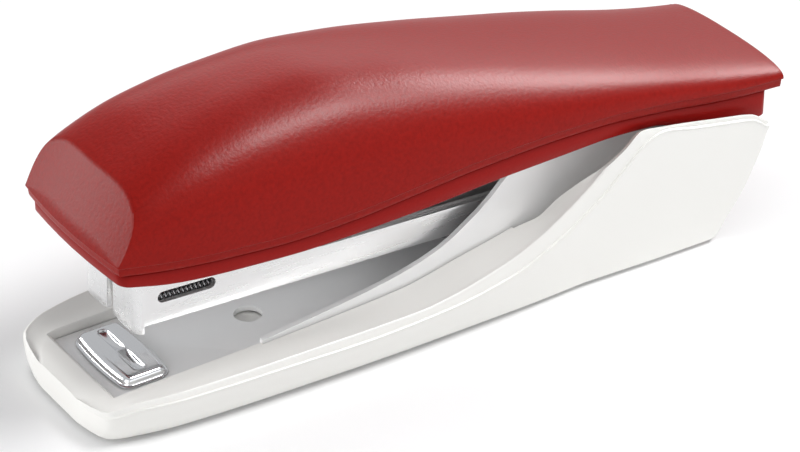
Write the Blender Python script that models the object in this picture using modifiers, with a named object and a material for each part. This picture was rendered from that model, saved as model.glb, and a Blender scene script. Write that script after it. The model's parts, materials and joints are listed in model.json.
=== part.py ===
"""Desk stapler, built as an assembly of separate pieces.

Frame: origin under the middle of the stapler on the desk, +X to the tail, -X to the nose, +Z up,
and Y = 0 is the plane of symmetry. Sizes in this file are millimetres, and MM turns them to metres.
"""
from math import cos, pi, radians, sin

import bmesh
import bpy
from mathutils import Vector

MM = 0.001

# Driving dimensions ---------------------------------------------------------------------------
LENGTH = 145.0                      # nose lip of the base to the tail of the cap
TAIL_X = LENGTH / 2

PIVOT_X, PIVOT_Z = 47.0, 20.5       # hinge pin that carries the magazine and the cap
REST_TILT = 2.84                    # degrees that the magazine's nose is raised at rest
PIN_R = 2.0
PIN_HALF = 14.0
PIN_HOLE_R = 2.35

GAP = 0.3                           # clearance between two pieces that touch
BITE = 0.04                         # joined shapes step back this much, so that no two faces coincide
SHEET = 0.9                         # steel of the magazine
PLATE = 1.0                         # steel of the base channel and the press arm

FOOT_H = 0.6                        # rubber feet
BASE_Z = FOOT_H + GAP               # underside of the base shell
PLATE_TOP = 5.8                     # top of the steel plate in the recess
RECESS_FRONT = -67.2
RECESS_HALF = 11.9
FLANGE_OUT = 12.2                   # outer faces of the base channel's flanges
FLANGE_START = -38.5
POCKET_FLOOR = 2.8                  # floor beside the flanges at the tail
POCKET_START = 14.0
FLOOR_END = 46.0                    # the floor stops here, so the open cap can swing past it
SHELL_END = 67.2

MAG_NOSE = -108.24                  # the rest of the magazine is measured from the pin
MAG_HALF = 9.16
MAG_BOTTOM = -8.4
MAG_TOP = -2.85
NOSE_BOTTOM = -9.88
NOSE_TOP = 2.0
NOSE_DEPTH = 1.6                    # length of the deeper nose wall
LIP_HALF = 7.2                      # the walls' tops turn in to this half width
FLAP_GAP = 1.0                      # half the gap between the nose flaps
SLOT_U, SLOT_V, SLOT_LEN, SLOT_R = -98.4, -3.58, 11.4, 1.1

RAIL_FRONT, RAIL_BACK = -105.0, -22.2
RAIL_HALF = 5.5
RAIL_TOP = -1.6
RAIL_WALL = 0.8
SPRING_Y, SPRING_V = 6.88, -4.9     # axis of each pusher spring
SPRING_R = 0.9                      # to the middle of the wire
WIRE_R = 0.2
SPRING_TURNS = 20

ARM_HALF = 10.6
RIVET_V = 11.9                      # height of the two rivets that hold the driver blade
COVER_WALL = 1.8
SKIRT_WALL = 1.6

# Outlines, as (position along X, value) ---------------------------------------------------------
BASE_HALF = [(-72.5, 9.0), (-71.6, 14.0), (-70.2, 16.4), (-66, 17.8), (-58, 19.3), (-40, 20.5), (-10, 21.4),
             (10, 21.4), (30, 20.8), (50, 20.3), (67.2, 20.0)]
BASE_RIDGE = [(-72.5, 6.3), (-70, 7.3), (-66, 8.4), (-40, 8.8), (-11, 9.1), (-4, 9.9), (2, 11.2), (8.5, 13.1),
              (15, 15.9), (21.5, 19.3), (28, 23.4), (35, 30.5), (42, 29.3), (56, 26.7), (63, 25.2), (67.2, 22.5)]
BASE_INNER_HALF = [(-72.5, 5.0), (-70, 9.0), (-66, 11.9), (-40, 12.5), (8, 12.5), (14, 13.0), (18.5, 14.2),
                   (22.2, 15.5), (25.4, 17.3), (29.8, 18.4), (36, 18.95), (60, 18.9), (67.2, 18.8)]
BASE_INNER_TOP = [(-72.5, 6.2), (-70, 7.1), (-66, 7.6), (-40, 8.0), (-24, 8.5), (-10.5, 9.2), (2, 11.5),
                  (18, 15.2), (22.2, 19.0), (25.4, 22.0), (29.8, 24.4), (33.7, 27.0), (37.3, 29.6),
                  (42, 29.0), (56, 26.4), (63, 24.9), (67.2, 22.2)]
CAP_HALF = [(-68.1, 16.2), (-60, 17.6), (-48, 18.9), (-30, 19.7), (-10, 19.9), (15, 19.5), (35, 18.8),
            (55, 17.7), (72.5, 17.0)]
CAP_CREASE = [(-68.1, 35.5), (-57, 34.4), (-46, 33.7), (-35, 33.2), (-23, 33.5), (-11, 34.4), (2, 35.2),
              (15, 35.4), (28, 34.9), (42, 33.2), (56, 30.7), (64, 29.6), (72.5, 28.8)]
CAP_CROWN = [(-68.1, 43.0), (-62, 47.0), (-50, 51.6), (-38, 53.8), (-26, 54.5), (-12, 52.8), (5, 49.2),
             (22, 44.8), (40, 40.1), (56, 35.7), (72.5, 31.5)]
CAP_SQUARENESS = [(-68.1, 3.7), (-60, 3.5), (-45, 3.0), (-28, 2.75), (30, 2.7), (72.5, 2.0)]
SKIRT_BOTTOM = [(-68.1, 31.1), (-57, 29.3), (-46, 28.7), (-30, 28.2), (-10, 28.6), (9, 29.3), (28, 29.4),
                (42, 28.2), (50, 25.0), (56, 22.0), (72.5, 21.5)]

parts = None
cutters = None


# Scene and materials ----------------------------------------------------------------------------
def clear_scene():
    for obj in list(bpy.data.objects):
        bpy.data.objects.remove(obj, do_unlink=True)


def new_collection(name):
    collection = bpy.data.collections.new(name)
    bpy.context.scene.collection.children.link(collection)
    return collection


def material(name, colour, roughness, metallic=0.0):
    mat = bpy.data.materials.new(name)
    mat.use_nodes = True
    shader = mat.node_tree.nodes["Principled BSDF"]
    shader.inputs["Base Color"].default_value = (*colour, 1.0)
    shader.inputs["Roughness"].default_value = roughness
    shader.inputs["Metallic"].default_value = metallic
    mat.diffuse_color = (*colour, 1.0)
    return mat


RED = ((0.25, 0.012, 0.008), 0.45)
WHITE = ((0.75, 0.74, 0.71), 0.4)
STEEL = ((0.6, 0.6, 0.61), 0.3, 1.0)
DARK_STEEL = ((0.32, 0.32, 0.33), 0.35, 1.0)
CHROME = ((0.8, 0.8, 0.8), 0.08, 1.0)
BLACK = ((0.03, 0.03, 0.03), 0.5)
GREY = ((0.35, 0.35, 0.34), 0.5)


# Curves through outline points ------------------------------------------------------------------
def smooth(keys, x):
    """Value at x of a smooth curve through the keys that doesn't overshoot between them."""
    if x <= keys[0][0]:
        return keys[0][1]
    if x >= keys[-1][0]:
        return keys[-1][1]
    i = max(k for k in range(len(keys) - 1) if keys[k][0] <= x)
    slopes = []
    for k in (i, i + 1):
        before = secant(keys, k - 1)
        after = secant(keys, k)
        slopes.append(0.0 if before * after <= 0 else 2 * before * after / (before + after))
    (x0, y0), (x1, y1) = keys[i], keys[i + 1]
    width = x1 - x0
    t = (x - x0) / width
    return (y0 * (1 + 2 * t) * (1 - t) ** 2 + y1 * t * t * (3 - 2 * t)
            + width * (slopes[0] * t * (1 - t) ** 2 - slopes[1] * t * t * (1 - t)))


def secant(keys, k):
    k = min(max(k, 0), len(keys) - 2)
    return (keys[k + 1][1] - keys[k][1]) / (keys[k + 1][0] - keys[k][0])


def spread(start, end, count):
    return [start + (end - start) * k / (count - 1) for k in range(count)]


# Building blocks --------------------------------------------------------------------------------
def register(obj, frame=None, cutter=False):
    """Put an object in its collection and hang it on its frame."""
    for collection in list(obj.users_collection):
        collection.objects.unlink(obj)
    (cutters if cutter else parts).objects.link(obj)
    if cutter:
        obj.hide_render = True
        obj.display_type = "WIRE"
    if frame is not None:
        obj.parent = frame
    return obj


def mesh_object(name, bm, frame=None, cutter=False):
    bmesh.ops.remove_doubles(bm, verts=bm.verts, dist=0.002 * MM)
    bmesh.ops.recalc_face_normals(bm, faces=bm.faces)
    mesh = bpy.data.meshes.new(name)
    bm.to_mesh(mesh)
    bm.free()
    return register(bpy.data.objects.new(name, mesh), frame, cutter)


def block(name, low, high, frame=None, cutter=False):
    """A box between two corners."""
    bm = bmesh.new()
    bmesh.ops.create_cube(bm, size=1.0)
    middle = [(a + b) / 2 * MM for a, b in zip(low, high)]
    size = [(b - a) * MM for a, b in zip(low, high)]
    bmesh.ops.scale(bm, vec=size, verts=bm.verts)
    bmesh.ops.translate(bm, vec=middle, verts=bm.verts)
    return mesh_object(name, bm, frame, cutter)


def prism(name, points, low, high, along="Y", frame=None, cutter=False):
    """A flat outline given thickness along Y, in X and Z, or along Z, in X and Y."""
    curve = bpy.data.curves.new(name, "CURVE")
    curve.dimensions = "2D"
    curve.fill_mode = "BOTH"
    curve.extrude = (high - low) / 2 * MM
    spline = curve.splines.new("POLY")
    spline.points.add(len(points) - 1)
    for point, (a, b) in zip(spline.points, points):
        point.co = (a * MM, b * MM, 0, 1)
    spline.use_cyclic_u = True
    flat = bpy.data.objects.new(name + "_outline", curve)
    bpy.context.scene.collection.objects.link(flat)
    middle = (low + high) / 2 * MM
    if along == "Y":
        flat.rotation_euler = (pi / 2, 0, 0)
        flat.location = (0, middle, 0)
    else:
        flat.location = (0, 0, middle)
    return curve_to_mesh(flat, name, frame, cutter)


def curve_to_mesh(flat, name, frame=None, cutter=False):
    bpy.context.view_layer.update()
    solid = flat.evaluated_get(bpy.context.evaluated_depsgraph_get())
    bm = bmesh.new()
    bm.from_mesh(bpy.data.meshes.new_from_object(solid))
    bmesh.ops.transform(bm, matrix=flat.matrix_world, verts=bm.verts)
    bpy.data.objects.remove(flat, do_unlink=True)
    return mesh_object(name, bm, frame, cutter)


def turned(name, profile, centre, axis, frame=None, cutter=False, steps=24):
    """A turned solid: profile is (radius, height) from the top of the axis down to its foot."""
    mesh = bpy.data.meshes.new(name)
    points = [(r * MM, 0, h * MM) for r, h in profile]
    mesh.from_pydata(points, [(k, k + 1) for k in range(len(points) - 1)], [])
    obj = register(bpy.data.objects.new(name, mesh), frame, cutter)
    obj.location = [c * MM for c in centre]
    off_plane = 0.1                 # a small turn keeps the corners of a round off the plane of symmetry
    obj.rotation_euler = {"Z": (0, 0, off_plane), "Y": (-pi / 2, 0, 0), "X": (0, pi / 2, 0)}[axis]
    screw = obj.modifiers.new("Turn", "SCREW")
    screw.steps = screw.render_steps = steps
    screw.use_merge_vertices = True
    screw.merge_threshold = 0.00001
    screw.use_smooth_shade = False
    return obj


def rod(name, radius, low, high, centre, axis, frame=None, cutter=False, steps=24):
    """A plain round bar along an axis, from low to high of its centre."""
    profile = [(0, high), (radius, high), (radius, low), (0, low)]
    return turned(name, profile, centre, axis, frame, cutter, steps)


def loft(name, rows, closed, capped, frame=None, cutter=False):
    """Skin rows of points. A closed row is a ring, and capped closes the first and last rows."""
    bm = bmesh.new()
    verts = [[bm.verts.new(Vector(p) * MM) for p in row] for row in rows]
    count = len(rows[0])
    for lower, upper in zip(verts, verts[1:]):
        for k in range(count if closed else count - 1):
            following = (k + 1) % count
            bm.faces.new((lower[k], lower[following], upper[following], upper[k]))
    if capped:
        bm.faces.new(verts[0])
        bm.faces.new(list(reversed(verts[-1])))
    return mesh_object(name, bm, frame, cutter)


def wire(name, points, radius, frame=None):
    curve = bpy.data.curves.new(name, "CURVE")
    curve.dimensions = "3D"
    curve.bevel_depth = radius * MM
    curve.bevel_resolution = 1
    curve.use_fill_caps = True
    spline = curve.splines.new("POLY")
    spline.points.add(len(points) - 1)
    for point, place in zip(spline.points, points):
        point.co = (*(c * MM for c in place), 1)
    path = bpy.data.objects.new(name + "_path", curve)
    bpy.context.scene.collection.objects.link(path)
    return curve_to_mesh(path, name, frame)


def combine(obj, other, operation="DIFFERENCE"):
    boolean = obj.modifiers.new(operation.title(), "BOOLEAN")
    boolean.operation = operation
    boolean.solver = "EXACT"
    boolean.object = other
    return obj


def thicken(obj, wall):
    solidify = obj.modifiers.new("Wall", "SOLIDIFY")
    solidify.thickness = wall * MM
    solidify.offset = -1
    solidify.use_even_offset = False
    return obj


def finish(obj, look):
    obj.data.materials.clear()
    obj.data.materials.append(material(obj.name, *look))
    obj.data.shade_smooth()
    obj.data.set_sharp_from_angle(angle=radians(30))
    return obj


def frame_empty(name, tilt=0.0):
    empty = bpy.data.objects.new(name, None)
    parts.objects.link(empty)
    empty.location = (PIVOT_X * MM, 0, PIVOT_Z * MM)
    empty.rotation_euler = (0, radians(tilt), 0)
    return empty


def sides(low, high):
    """The span across Y on the right (-Y) side and on the left (+Y) side, with their names."""
    return (("right", -high, -low), ("left", low, high))


# Base -------------------------------------------------------------------------------------------
def base_section(x):
    """Half the shell's outline at x: up the side, over the ridge and down the concave shelf."""
    half = smooth(BASE_HALF, x)
    ridge = smooth(BASE_RIDGE, x)
    inner = min(smooth(BASE_INNER_HALF, x), half - 1.0)
    inner_top = smooth(BASE_INNER_TOP, x)
    lean = 0.7 if x < 30 else 0.2
    shelf_sag = 0.35 * min(1.0, (half - inner) / 6)
    points = [(half - 1.6, BASE_Z), (half - 0.3, BASE_Z + 1.3), (half, BASE_Z + 0.45 * (ridge - BASE_Z)),
              (half - 0.35 * lean, ridge - 1.2), (half - lean, ridge)]
    for t in (0.3, 0.6, 1.0):
        across = half - lean + (inner - half + lean) * t
        points.append((across, ridge + (inner_top - ridge) * t - shelf_sag * sin(pi * t)))
    return points


def build_base_shell():
    stations = [-72.5, -72.2, -71.6, -70.8, -69.6, -68, -66, -62, -56, -48, -38, -26, -14]
    stations += [-8, -4, 0, 4, 8, 12, 15, 18, 21, 24, 26, 28, 30, 32, 33.5, 35, 38, 44, 50, 56, 60, 63, 65.5, 67.2]
    rows = []
    for x in stations:
        half = base_section(x)
        rows.append([(x, -y, z) for y, z in reversed(half)] + [(x, y, z) for y, z in half])
    shell = loft("base_shell", rows, closed=True, capped=True)

    tail = SHELL_END + 3
    wider = FLANGE_START - GAP
    channel_half = FLANGE_OUT + GAP
    right = [(RECESS_FRONT, -RECESS_HALF), (wider, -RECESS_HALF), (wider, -channel_half), (tail, -channel_half)]
    recess = right + [(x, -y) for x, y in reversed(right)]
    combine(shell, prism("recess_cutter", recess, PLATE_TOP - PLATE - GAP, 60, "Z", cutter=True))

    widths = [(x, smooth(BASE_INNER_HALF, x)) for x in (POCKET_START, 18.5, 22.2, 25.4, 29.8, 36, 60)]
    widths.append((tail, smooth(BASE_INNER_HALF, tail)))
    outline = [(x, -half) for x, half in widths] + [(x, half) for x, half in reversed(widths)]
    combine(shell, prism("pocket_cutter", outline, POCKET_FLOOR, 60, "Z", cutter=True))

    rear = smooth(BASE_INNER_HALF, FLOOR_END)
    combine(shell, block("tail_floor_cutter", (FLOOR_END, -rear, -2), (tail, rear, POCKET_FLOOR + 1), cutter=True))
    slope = [(55.6, -1), (56.6, BASE_Z + 1.0), (58.2, 4.2), (61.9, 9.0), (64.2, 13.2), (66.4, 18.0), (67.3, 23.0),
             (tail, 23.0), (tail, -1)]
    combine(shell, prism("tail_slope_cutter", slope, -30, 30, cutter=True))
    combine(shell, block("underside_cutter", (-64, -14.5, 0), (12, 14.5, 3.0), cutter=True))
    for name, x in (("front", -50.0), ("rear", 2.0)):
        combine(shell, rod(f"shell_screw_hole_{name}", 2.0, 0, 8, (x, 0, 0), "Z", cutter=True))
    return finish(shell, WHITE)


def build_bottom_cover():
    cover = block("bottom_cover", (-63.7, -14.2, BASE_Z), (11.7, 14.2, BASE_Z + 1.6))
    for name, x in (("front", -50.0), ("rear", 2.0)):
        combine(cover, rod(f"cover_screw_hole_{name}", 2.0, 0, 8, (x, 0, 0), "Z", cutter=True))
        combine(cover, rod(f"cover_screw_seat_{name}", 3.4, 0, BASE_Z + 1.0, (x, 0, 0), "Z", cutter=True))
    return finish(cover, GREY)


def build_base_screws():
    for name, x in (("front", -50.0), ("rear", 2.0)):
        tip = PLATE_TOP - PLATE - GAP
        profile = [(0, tip), (1.4, tip), (1.4, BASE_Z + 0.7), (3.0, BASE_Z + 0.7), (3.0, BASE_Z - 0.1),
                   (0.9, BASE_Z - 0.1), (0.9, BASE_Z + 0.3), (0, BASE_Z + 0.3)]
        finish(turned(f"base_screw_{name}", profile, (x, 0, 0), "Z"), DARK_STEEL)


def build_feet():
    for end, x, y in (("front", -56.0, 10.5), ("rear", 36.0, 13.0)):
        for side, sign in (("right", -1), ("left", 1)):
            profile = [(0, FOOT_H), (4.0, FOOT_H), (4.0, 0.15), (3.85, 0), (0, 0)]
            finish(turned(f"foot_{end}_{side}", profile, (x, sign * y, 0), "Z"), BLACK)


def build_base_channel():
    inner = FLANGE_OUT - PLATE
    front = RECESS_HALF - GAP
    wide = FLANGE_OUT - PLATE / 2
    widening = FLANGE_START + BITE
    floor = [(RECESS_FRONT + GAP, -front), (widening, -front), (widening, -wide), (49, -wide),
             (49, wide), (widening, wide), (widening, front), (RECESS_FRONT + GAP, front)]
    channel = prism("base_channel", floor, PLATE_TOP - PLATE + BITE, PLATE_TOP, "Z")
    side = [(FLANGE_START, PLATE_TOP - PLATE), (50, PLATE_TOP - PLATE), (54, 14), (54, 24), (51, 27.5), (20, 27.5),
            (16, 26.8), (12.8, 24.4), (9.5, 21.3), (6, 18.7), (-1.2, 14.5), (-8, 12.4), (-16.1, 10.9),
            (FLANGE_START, 8.4)]
    for name, low, high in sides(inner, FLANGE_OUT):
        combine(channel, prism(f"flange_{name}", side, low, high, cutter=True), "UNION")
    combine(channel, rod("plate_hole_cutter", 2.6, 0, 10, (-34.2, 0, 0), "Z", cutter=True))
    combine(channel, rod("channel_pin_hole", PIN_HOLE_R, -20, 20, (PIVOT_X, 0, PIVOT_Z), "Y", cutter=True, steps=32))
    combine(channel, rod("anvil_rivet_hole", 1.5, 0, 8, (-57.6, 0, 0), "Z", cutter=True))
    combine(channel, rod("lift_rivet_hole", 1.5, 0, 8, (22.0, 0, 0), "Z", cutter=True))
    return finish(channel, STEEL)


def build_anvil():
    """A pressed pad whose four edges roll down to the plate, with a slot for the two clinch grooves."""
    foot = PLATE_TOP + GAP
    rows = []
    for rise, inset in ((0.0, 0.0), (0.9, 0.25), (1.5, 0.8), (1.75, 1.4)):
        half = 9.5 - inset * 0.9
        ring = []
        for t in spread(-1, 1, 9):
            bow = 0.9 * (1 - t * t)
            ring.append((-64.2 - bow + inset, half * t, foot + rise))
        for t in spread(1, -1, 9):
            bow = 0.8 * (1 - t * t)
            ring.append((-55.5 + bow - inset, half * t, foot + rise))
        rows.append(ring)
    anvil = loft("anvil", rows, closed=True, capped=True)
    slot = obround(-59.9, 0, 14.4, 1.0, turned_across=True)
    combine(anvil, prism("clinch_slot_cutter", slot, foot + 0.8, foot + 4, "Z", cutter=True))
    combine(anvil, rod("anvil_shank_hole", 1.5, 0, 7.1, (-57.6, 0, 0), "Z", cutter=True))
    rivet = [(0, 6.8), (1.2, 6.8), (1.2, 4.5), (2.2, 4.5), (2.2, 3.9), (0, 3.9)]
    finish(turned("anvil_rivet", rivet, (-57.6, 0, 0), "Z"), STEEL)
    combine(bpy.data.objects["base_shell"], rod("rivet_head_pocket", 2.6, 3.5, 5.2, (-57.6, 0, 0), "Z", cutter=True))
    return finish(anvil, CHROME)


def obround(x, y, length, radius, turned_across=False, points=8):
    """A slot outline with round ends, along the first axis, or across it."""
    reach = length / 2 - radius
    outline = []
    for sign in (1, -1):
        for k in range(points + 1):
            angle = pi * (k / points - 0.5)
            outline.append((sign * (reach + radius * cos(angle)), sign * radius * sin(angle)))
    if turned_across:
        outline = [(-b, a) for a, b in outline]
    return [(x + a, y + b) for a, b in outline]


def build_lift_spring():
    """Leaf spring from the plate up to the magazine's underside."""
    path = [(26, PLATE_TOP + GAP), (18, PLATE_TOP + GAP), (12, PLATE_TOP + 1.1), (0, 12.6), (-5, 13.6), (-8, 13.4)]
    finish(strip("lift_spring", path, 0.5, 4.0), STEEL)
    combine(bpy.data.objects["lift_spring"], rod("leaf_rivet_hole", 1.5, 0, 8, (22, 0, 0), "Z", cutter=True))
    head = PLATE_TOP + GAP + 0.5 + GAP
    profile = [(0, head + 0.7), (2.2, head + 0.7), (2.2, head), (1.2, head), (1.2, 4.6), (0, 4.6)]
    finish(turned("lift_spring_rivet", profile, (22, 0, 0), "Z"), DARK_STEEL)


def strip(name, path, thickness, half_width, frame=None):
    """A bent flat strip whose lower face follows a path in X and Z."""
    rows = []
    for k, (x, z) in enumerate(path):
        ahead = Vector(path[min(k + 1, len(path) - 1)]) - Vector(path[max(k - 1, 0)])
        normal = Vector((-ahead[1], ahead[0])).normalized()
        if normal[1] < 0:
            normal.negate()
        top = (x + normal[0] * thickness, z + normal[1] * thickness)
        rows.append([(x, -half_width, z), (x, half_width, z), (top[0], half_width, top[1]),
                     (top[0], -half_width, top[1])])
    return loft(name, rows, closed=True, capped=True, frame=frame)


def build_pin():
    centre = (PIVOT_X, 0, PIVOT_Z)
    profile = [(0, PIN_HALF), (PIN_R - 0.4, PIN_HALF), (PIN_R, PIN_HALF - 0.4), (PIN_R, 0.4 - PIN_HALF),
               (PIN_R - 0.4, -PIN_HALF), (0, -PIN_HALF)]
    finish(turned("hinge_pin", profile, centre, "Y"), STEEL)
    for side, low, high in sides(FLANGE_OUT + GAP, FLANGE_OUT + 1.1):
        clip = rod(f"pin_clip_{side}", 3.8, low, high, centre, "Y")
        combine(clip, rod(f"clip_hole_{side}", PIN_HOLE_R, -20, 20, centre, "Y", cutter=True))
        finish(clip, DARK_STEEL)


# Magazine, measured from the pin: u along it, v up ------------------------------------------------
def build_magazine(frame):
    ear = [(4.7 * cos(a), 4.7 * sin(a)) for a in spread(-0.9, 2.5, 9)]
    wall = [(MAG_NOSE, NOSE_BOTTOM), (MAG_NOSE + NOSE_DEPTH, NOSE_BOTTOM), (MAG_NOSE + NOSE_DEPTH, MAG_BOTTOM),
            (0, MAG_BOTTOM)] + ear + [(-9, MAG_TOP), (-71, MAG_TOP), (-80, 0.6), (-96, NOSE_TOP), (MAG_NOSE, NOSE_TOP)]
    inner = MAG_HALF - SHEET
    channel = block("magazine_channel", (RAIL_FRONT - GAP, -inner - GAP, MAG_BOTTOM + BITE),
                    (-0.5, inner + GAP, MAG_BOTTOM + SHEET), frame)
    for name, low, high in sides(inner, MAG_HALF):
        combine(channel, prism(f"wall_{name}", wall, low, high, frame=frame, cutter=True), "UNION")
    for name, low, high in sides(FLAP_GAP, inner + GAP):
        flap = block(f"flap_{name}", (MAG_NOSE + BITE, low, NOSE_BOTTOM + BITE),
                     (MAG_NOSE + SHEET, high, NOSE_TOP - BITE), frame, True)
        combine(channel, flap, "UNION")
    for name, low, high in sides(LIP_HALF, inner + GAP):
        lip = block(f"wall_lip_{name}", (-70.5, low, MAG_TOP - 0.65), (-9, high, MAG_TOP - BITE), frame, True)
        combine(channel, lip, "UNION")
    slot = obround(SLOT_U, SLOT_V, SLOT_LEN, SLOT_R)
    combine(channel, prism("side_slot_cutter", slot, -20, 20, frame=frame, cutter=True))
    combine(channel, rod("magazine_pin_hole", PIN_HOLE_R, -20, 20, (0, 0, 0), "Y", frame, True, 32))
    for name, u in (("front", -90.0), ("rear", -34.0)):
        combine(channel, rod(f"channel_rivet_hole_{name}", 1.5, -12, -6, (u, 0, 0), "Z", frame, True))
    return finish(channel, STEEL)


def build_rail(frame):
    bottom = MAG_BOTTOM + SHEET + GAP
    rail = block("staple_rail", (RAIL_FRONT, -RAIL_HALF, bottom), (RAIL_BACK, RAIL_HALF, RAIL_TOP), frame)
    hollow = RAIL_HALF - RAIL_WALL
    low = bottom + RAIL_WALL
    combine(rail, block("rail_hollow", (-120, -hollow, low), (0, hollow, 5), frame, True))
    for name, u in (("front", -90.0), ("rear", -34.0)):
        combine(rail, rod(f"rail_rivet_hole_{name}", 1.5, -12, -6, (u, 0, 0), "Z", frame, True))
        top = low + GAP
        profile = [(0, top + 0.7), (2.2, top + 0.7), (2.2, top), (1.2, top), (1.2, MAG_BOTTOM - GAP),
                   (2.2, MAG_BOTTOM - GAP), (1.8, MAG_BOTTOM - GAP - 0.6), (0, MAG_BOTTOM - GAP - 0.6)]
        finish(turned(f"rail_rivet_{name}", profile, (u, 0, 0), "Z", frame), DARK_STEEL)
    return finish(rail, STEEL)


def build_rear_block(frame):
    bottom = MAG_BOTTOM + SHEET + GAP
    side_top = MAG_TOP - 0.65 - GAP
    rear = block("rear_block", (RAIL_BACK + GAP, -7.9, bottom), (-11, 7.9, side_top), frame)
    upper = block("rear_block_top", (RAIL_BACK + GAP + BITE, -6.8, side_top - 1), (-11 - BITE, 6.8, 0), frame, True)
    combine(rear, upper, "UNION")
    return finish(rear, BLACK)


def build_pusher(frame):
    """Saddle over the rail: a front plate with a wing for each spring, and a tongue along the top."""
    front = RAIL_FRONT + 0.1
    plate = 0.8
    bottom = MAG_BOTTOM + SHEET + GAP
    wing_top = MAG_TOP - 0.65 - GAP
    pusher = block("pusher", (front, -7.95, bottom), (front + plate, 7.95, wing_top), frame)
    upper = block("pusher_upper", (front + BITE, -6.85, wing_top - 1), (front + plate - BITE, 6.85, -0.6), frame, True)
    combine(pusher, upper, "UNION")
    clear = RAIL_HALF + GAP
    combine(pusher, block("pusher_saddle_cutter", (-120, -clear, -12), (0, clear, RAIL_TOP + GAP), frame, True))
    tongue = block("pusher_tongue", (front + 2 * BITE, -5.0, RAIL_TOP + GAP + BITE), (front + 18, 5.0, -0.6 - BITE),
                   frame, True)
    combine(pusher, tongue, "UNION")
    finish(pusher, DARK_STEEL)

    start, end = front + plate + WIRE_R + 0.15, RAIL_BACK + GAP - WIRE_R - 0.15
    steps = SPRING_TURNS * 8
    for side, sign in (("right", -1), ("left", 1)):
        points = []
        for k in range(steps + 1):
            angle = 2 * pi * k / 8
            points.append((start + (end - start) * k / steps, sign * SPRING_Y + SPRING_R * cos(angle),
                           SPRING_V + SPRING_R * sin(angle)))
        finish(wire(f"pusher_spring_{side}", points, WIRE_R, frame), STEEL)


def build_cap_spring(frame):
    path = [(-12, GAP), (-20, GAP), (-26, 0.9), (-44, 5.0), (-50, 5.6), (-53, 5.4)]
    finish(strip("cap_spring", path, 0.5, 3.0, frame), STEEL)


# Cap --------------------------------------------------------------------------------------------
NOSE_SLOPE = 0.55                   # the end face leans back this much for each mm up
NOSE_FOOT = -68.1
NOSE_BOW = 1.0
LIP_DROP = 1.9                      # crease to the cover's bottom edge
LIP_INSET = 0.4
SKIRT_INSET = 0.9


def nose_x(y, z):
    """X of the cap's end face, which leans back and bows forward in the middle."""
    corner = CAP_HALF[0][1]
    return NOSE_FOOT + NOSE_SLOPE * (z - CAP_CREASE[0][1]) - NOSE_BOW * (1 - (y / corner) ** 2)


def cap_point(x, angle):
    """A point of the crowned cover: angle runs from one crease over the top to the other."""
    power = 2 / smooth(CAP_SQUARENESS, x)
    crease = smooth(CAP_CREASE, x)
    rise = smooth(CAP_CROWN, x) - crease
    across, up = cos(angle), sin(angle)
    y = smooth(CAP_HALF, x) * abs(across) ** power * (1 if across >= 0 else -1)
    return x, y, crease + rise * max(up, 0) ** power


def cap_arch(start_or_x, blend, angles):
    """One arch over the cover. blend 1 is the nose edge, and 0 is the flat section at x."""
    points = []
    for angle in angles:
        x = start_or_x
        for _ in range(12):
            _, y, z = cap_point(x, angle)
            x = start_or_x + (nose_x(y, z) - start_or_x) * blend
        points.append((x, y, z))
    return points


def with_lip(arch):
    """Add the short lip below each crease."""
    (x, y, z), (x_far, y_far, z_far) = arch[0], arch[-1]
    return [(x, y - LIP_INSET, z - LIP_DROP)] + arch + [(x_far, y_far + LIP_INSET, z_far - LIP_DROP)]


def end_face(arch, x_of, inward):
    """Rows that close an end of the cover, from its rim down to the lip's bottom edge."""
    foot = arch[0][2]
    half = arch[0][1]
    across = spread(half, -half, len(arch))
    rows = []
    for t in (0.25, 0.5, 0.75, 1.0):
        row = []
        for (_, y, z), y_foot in zip(arch, across):
            y_here = y + (y_foot - y) * t
            z_here = z + (foot - z) * t
            row.append((x_of(y_here, z_here), y_here, z_here))
        rows.append(row)
    scale = (half - LIP_INSET) / half
    rows.append([(x_of(y, foot) + inward * LIP_INSET, y * scale, foot - LIP_DROP) for y in across])
    return rows


def build_cap_cover(frame):
    angles = spread(0, pi, 25)
    planar = [-52, -46, -40, -34, -28, -22, -16, -10, -4, 3, 10, 18, 26, 34, 42, 50, 58, 65, TAIL_X]
    arches = [cap_arch(planar[0], blend, angles) for blend in (1.0, 0.75, 0.5, 0.25)]
    arches += [cap_arch(x, 0, angles) for x in planar]
    front = end_face(arches[0], nose_x, 1)
    back = end_face(arches[-1], lambda y, z: TAIL_X, -1)
    lipped = [with_lip(arch) for arch in arches]
    for row, end in ((lipped[0], front), (lipped[-1], back)):
        row[0], row[-1] = end[-1][0], end[-1][-1]
    front = [[front[-1][0]] + row + [front[-1][-1]] for row in reversed(front)]
    back = [[back[-1][0]] + row + [back[-1][-1]] for row in back]
    cover = thicken(loft("cap_cover", front + lipped + back, closed=False, capped=False, frame=frame), COVER_WALL)
    for name, x, low in BOSSES:
        top = smooth(CAP_CROWN, x) - 1.0
        profile = [(0, top), (3.2, top), (3.2, low), (1.7, low), (1.7, low + 7), (0, low + 7)]
        combine(cover, turned(f"boss_{name}", profile, (x, 0, 0), "Z", frame, True), "UNION")
    return finish(cover, RED)


BOSSES = (("front", -46.0, 39.8), ("rear", 20.0, 33.4))


def skirt_outline(inset):
    """Plan outline of the cap, moved inwards: the nose, one side to the tail, and back along the other."""
    xs = [-66.0, -60, -52, -42, -30, -16, -4, 8, 20, 30, 38, 45, 50, 55, 60, 65, 69.0]
    right = [(x, -(smooth(CAP_HALF, x) - inset)) for x in xs]
    nose_half = right[0][1]
    nose = [(nose_x(nose_half * t, CAP_CREASE[0][1]) + inset, nose_half * t) for t in (-0.94, -0.5, 0, 0.5, 0.94)]
    tail_x = 70.4 - inset
    tail = [(tail_x, right[-1][1] * t) for t in (0.95, 0.5, 0, -0.5, -0.95)]
    return nose + right + tail + [(x, -y) for x, y in reversed(right)]


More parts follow.
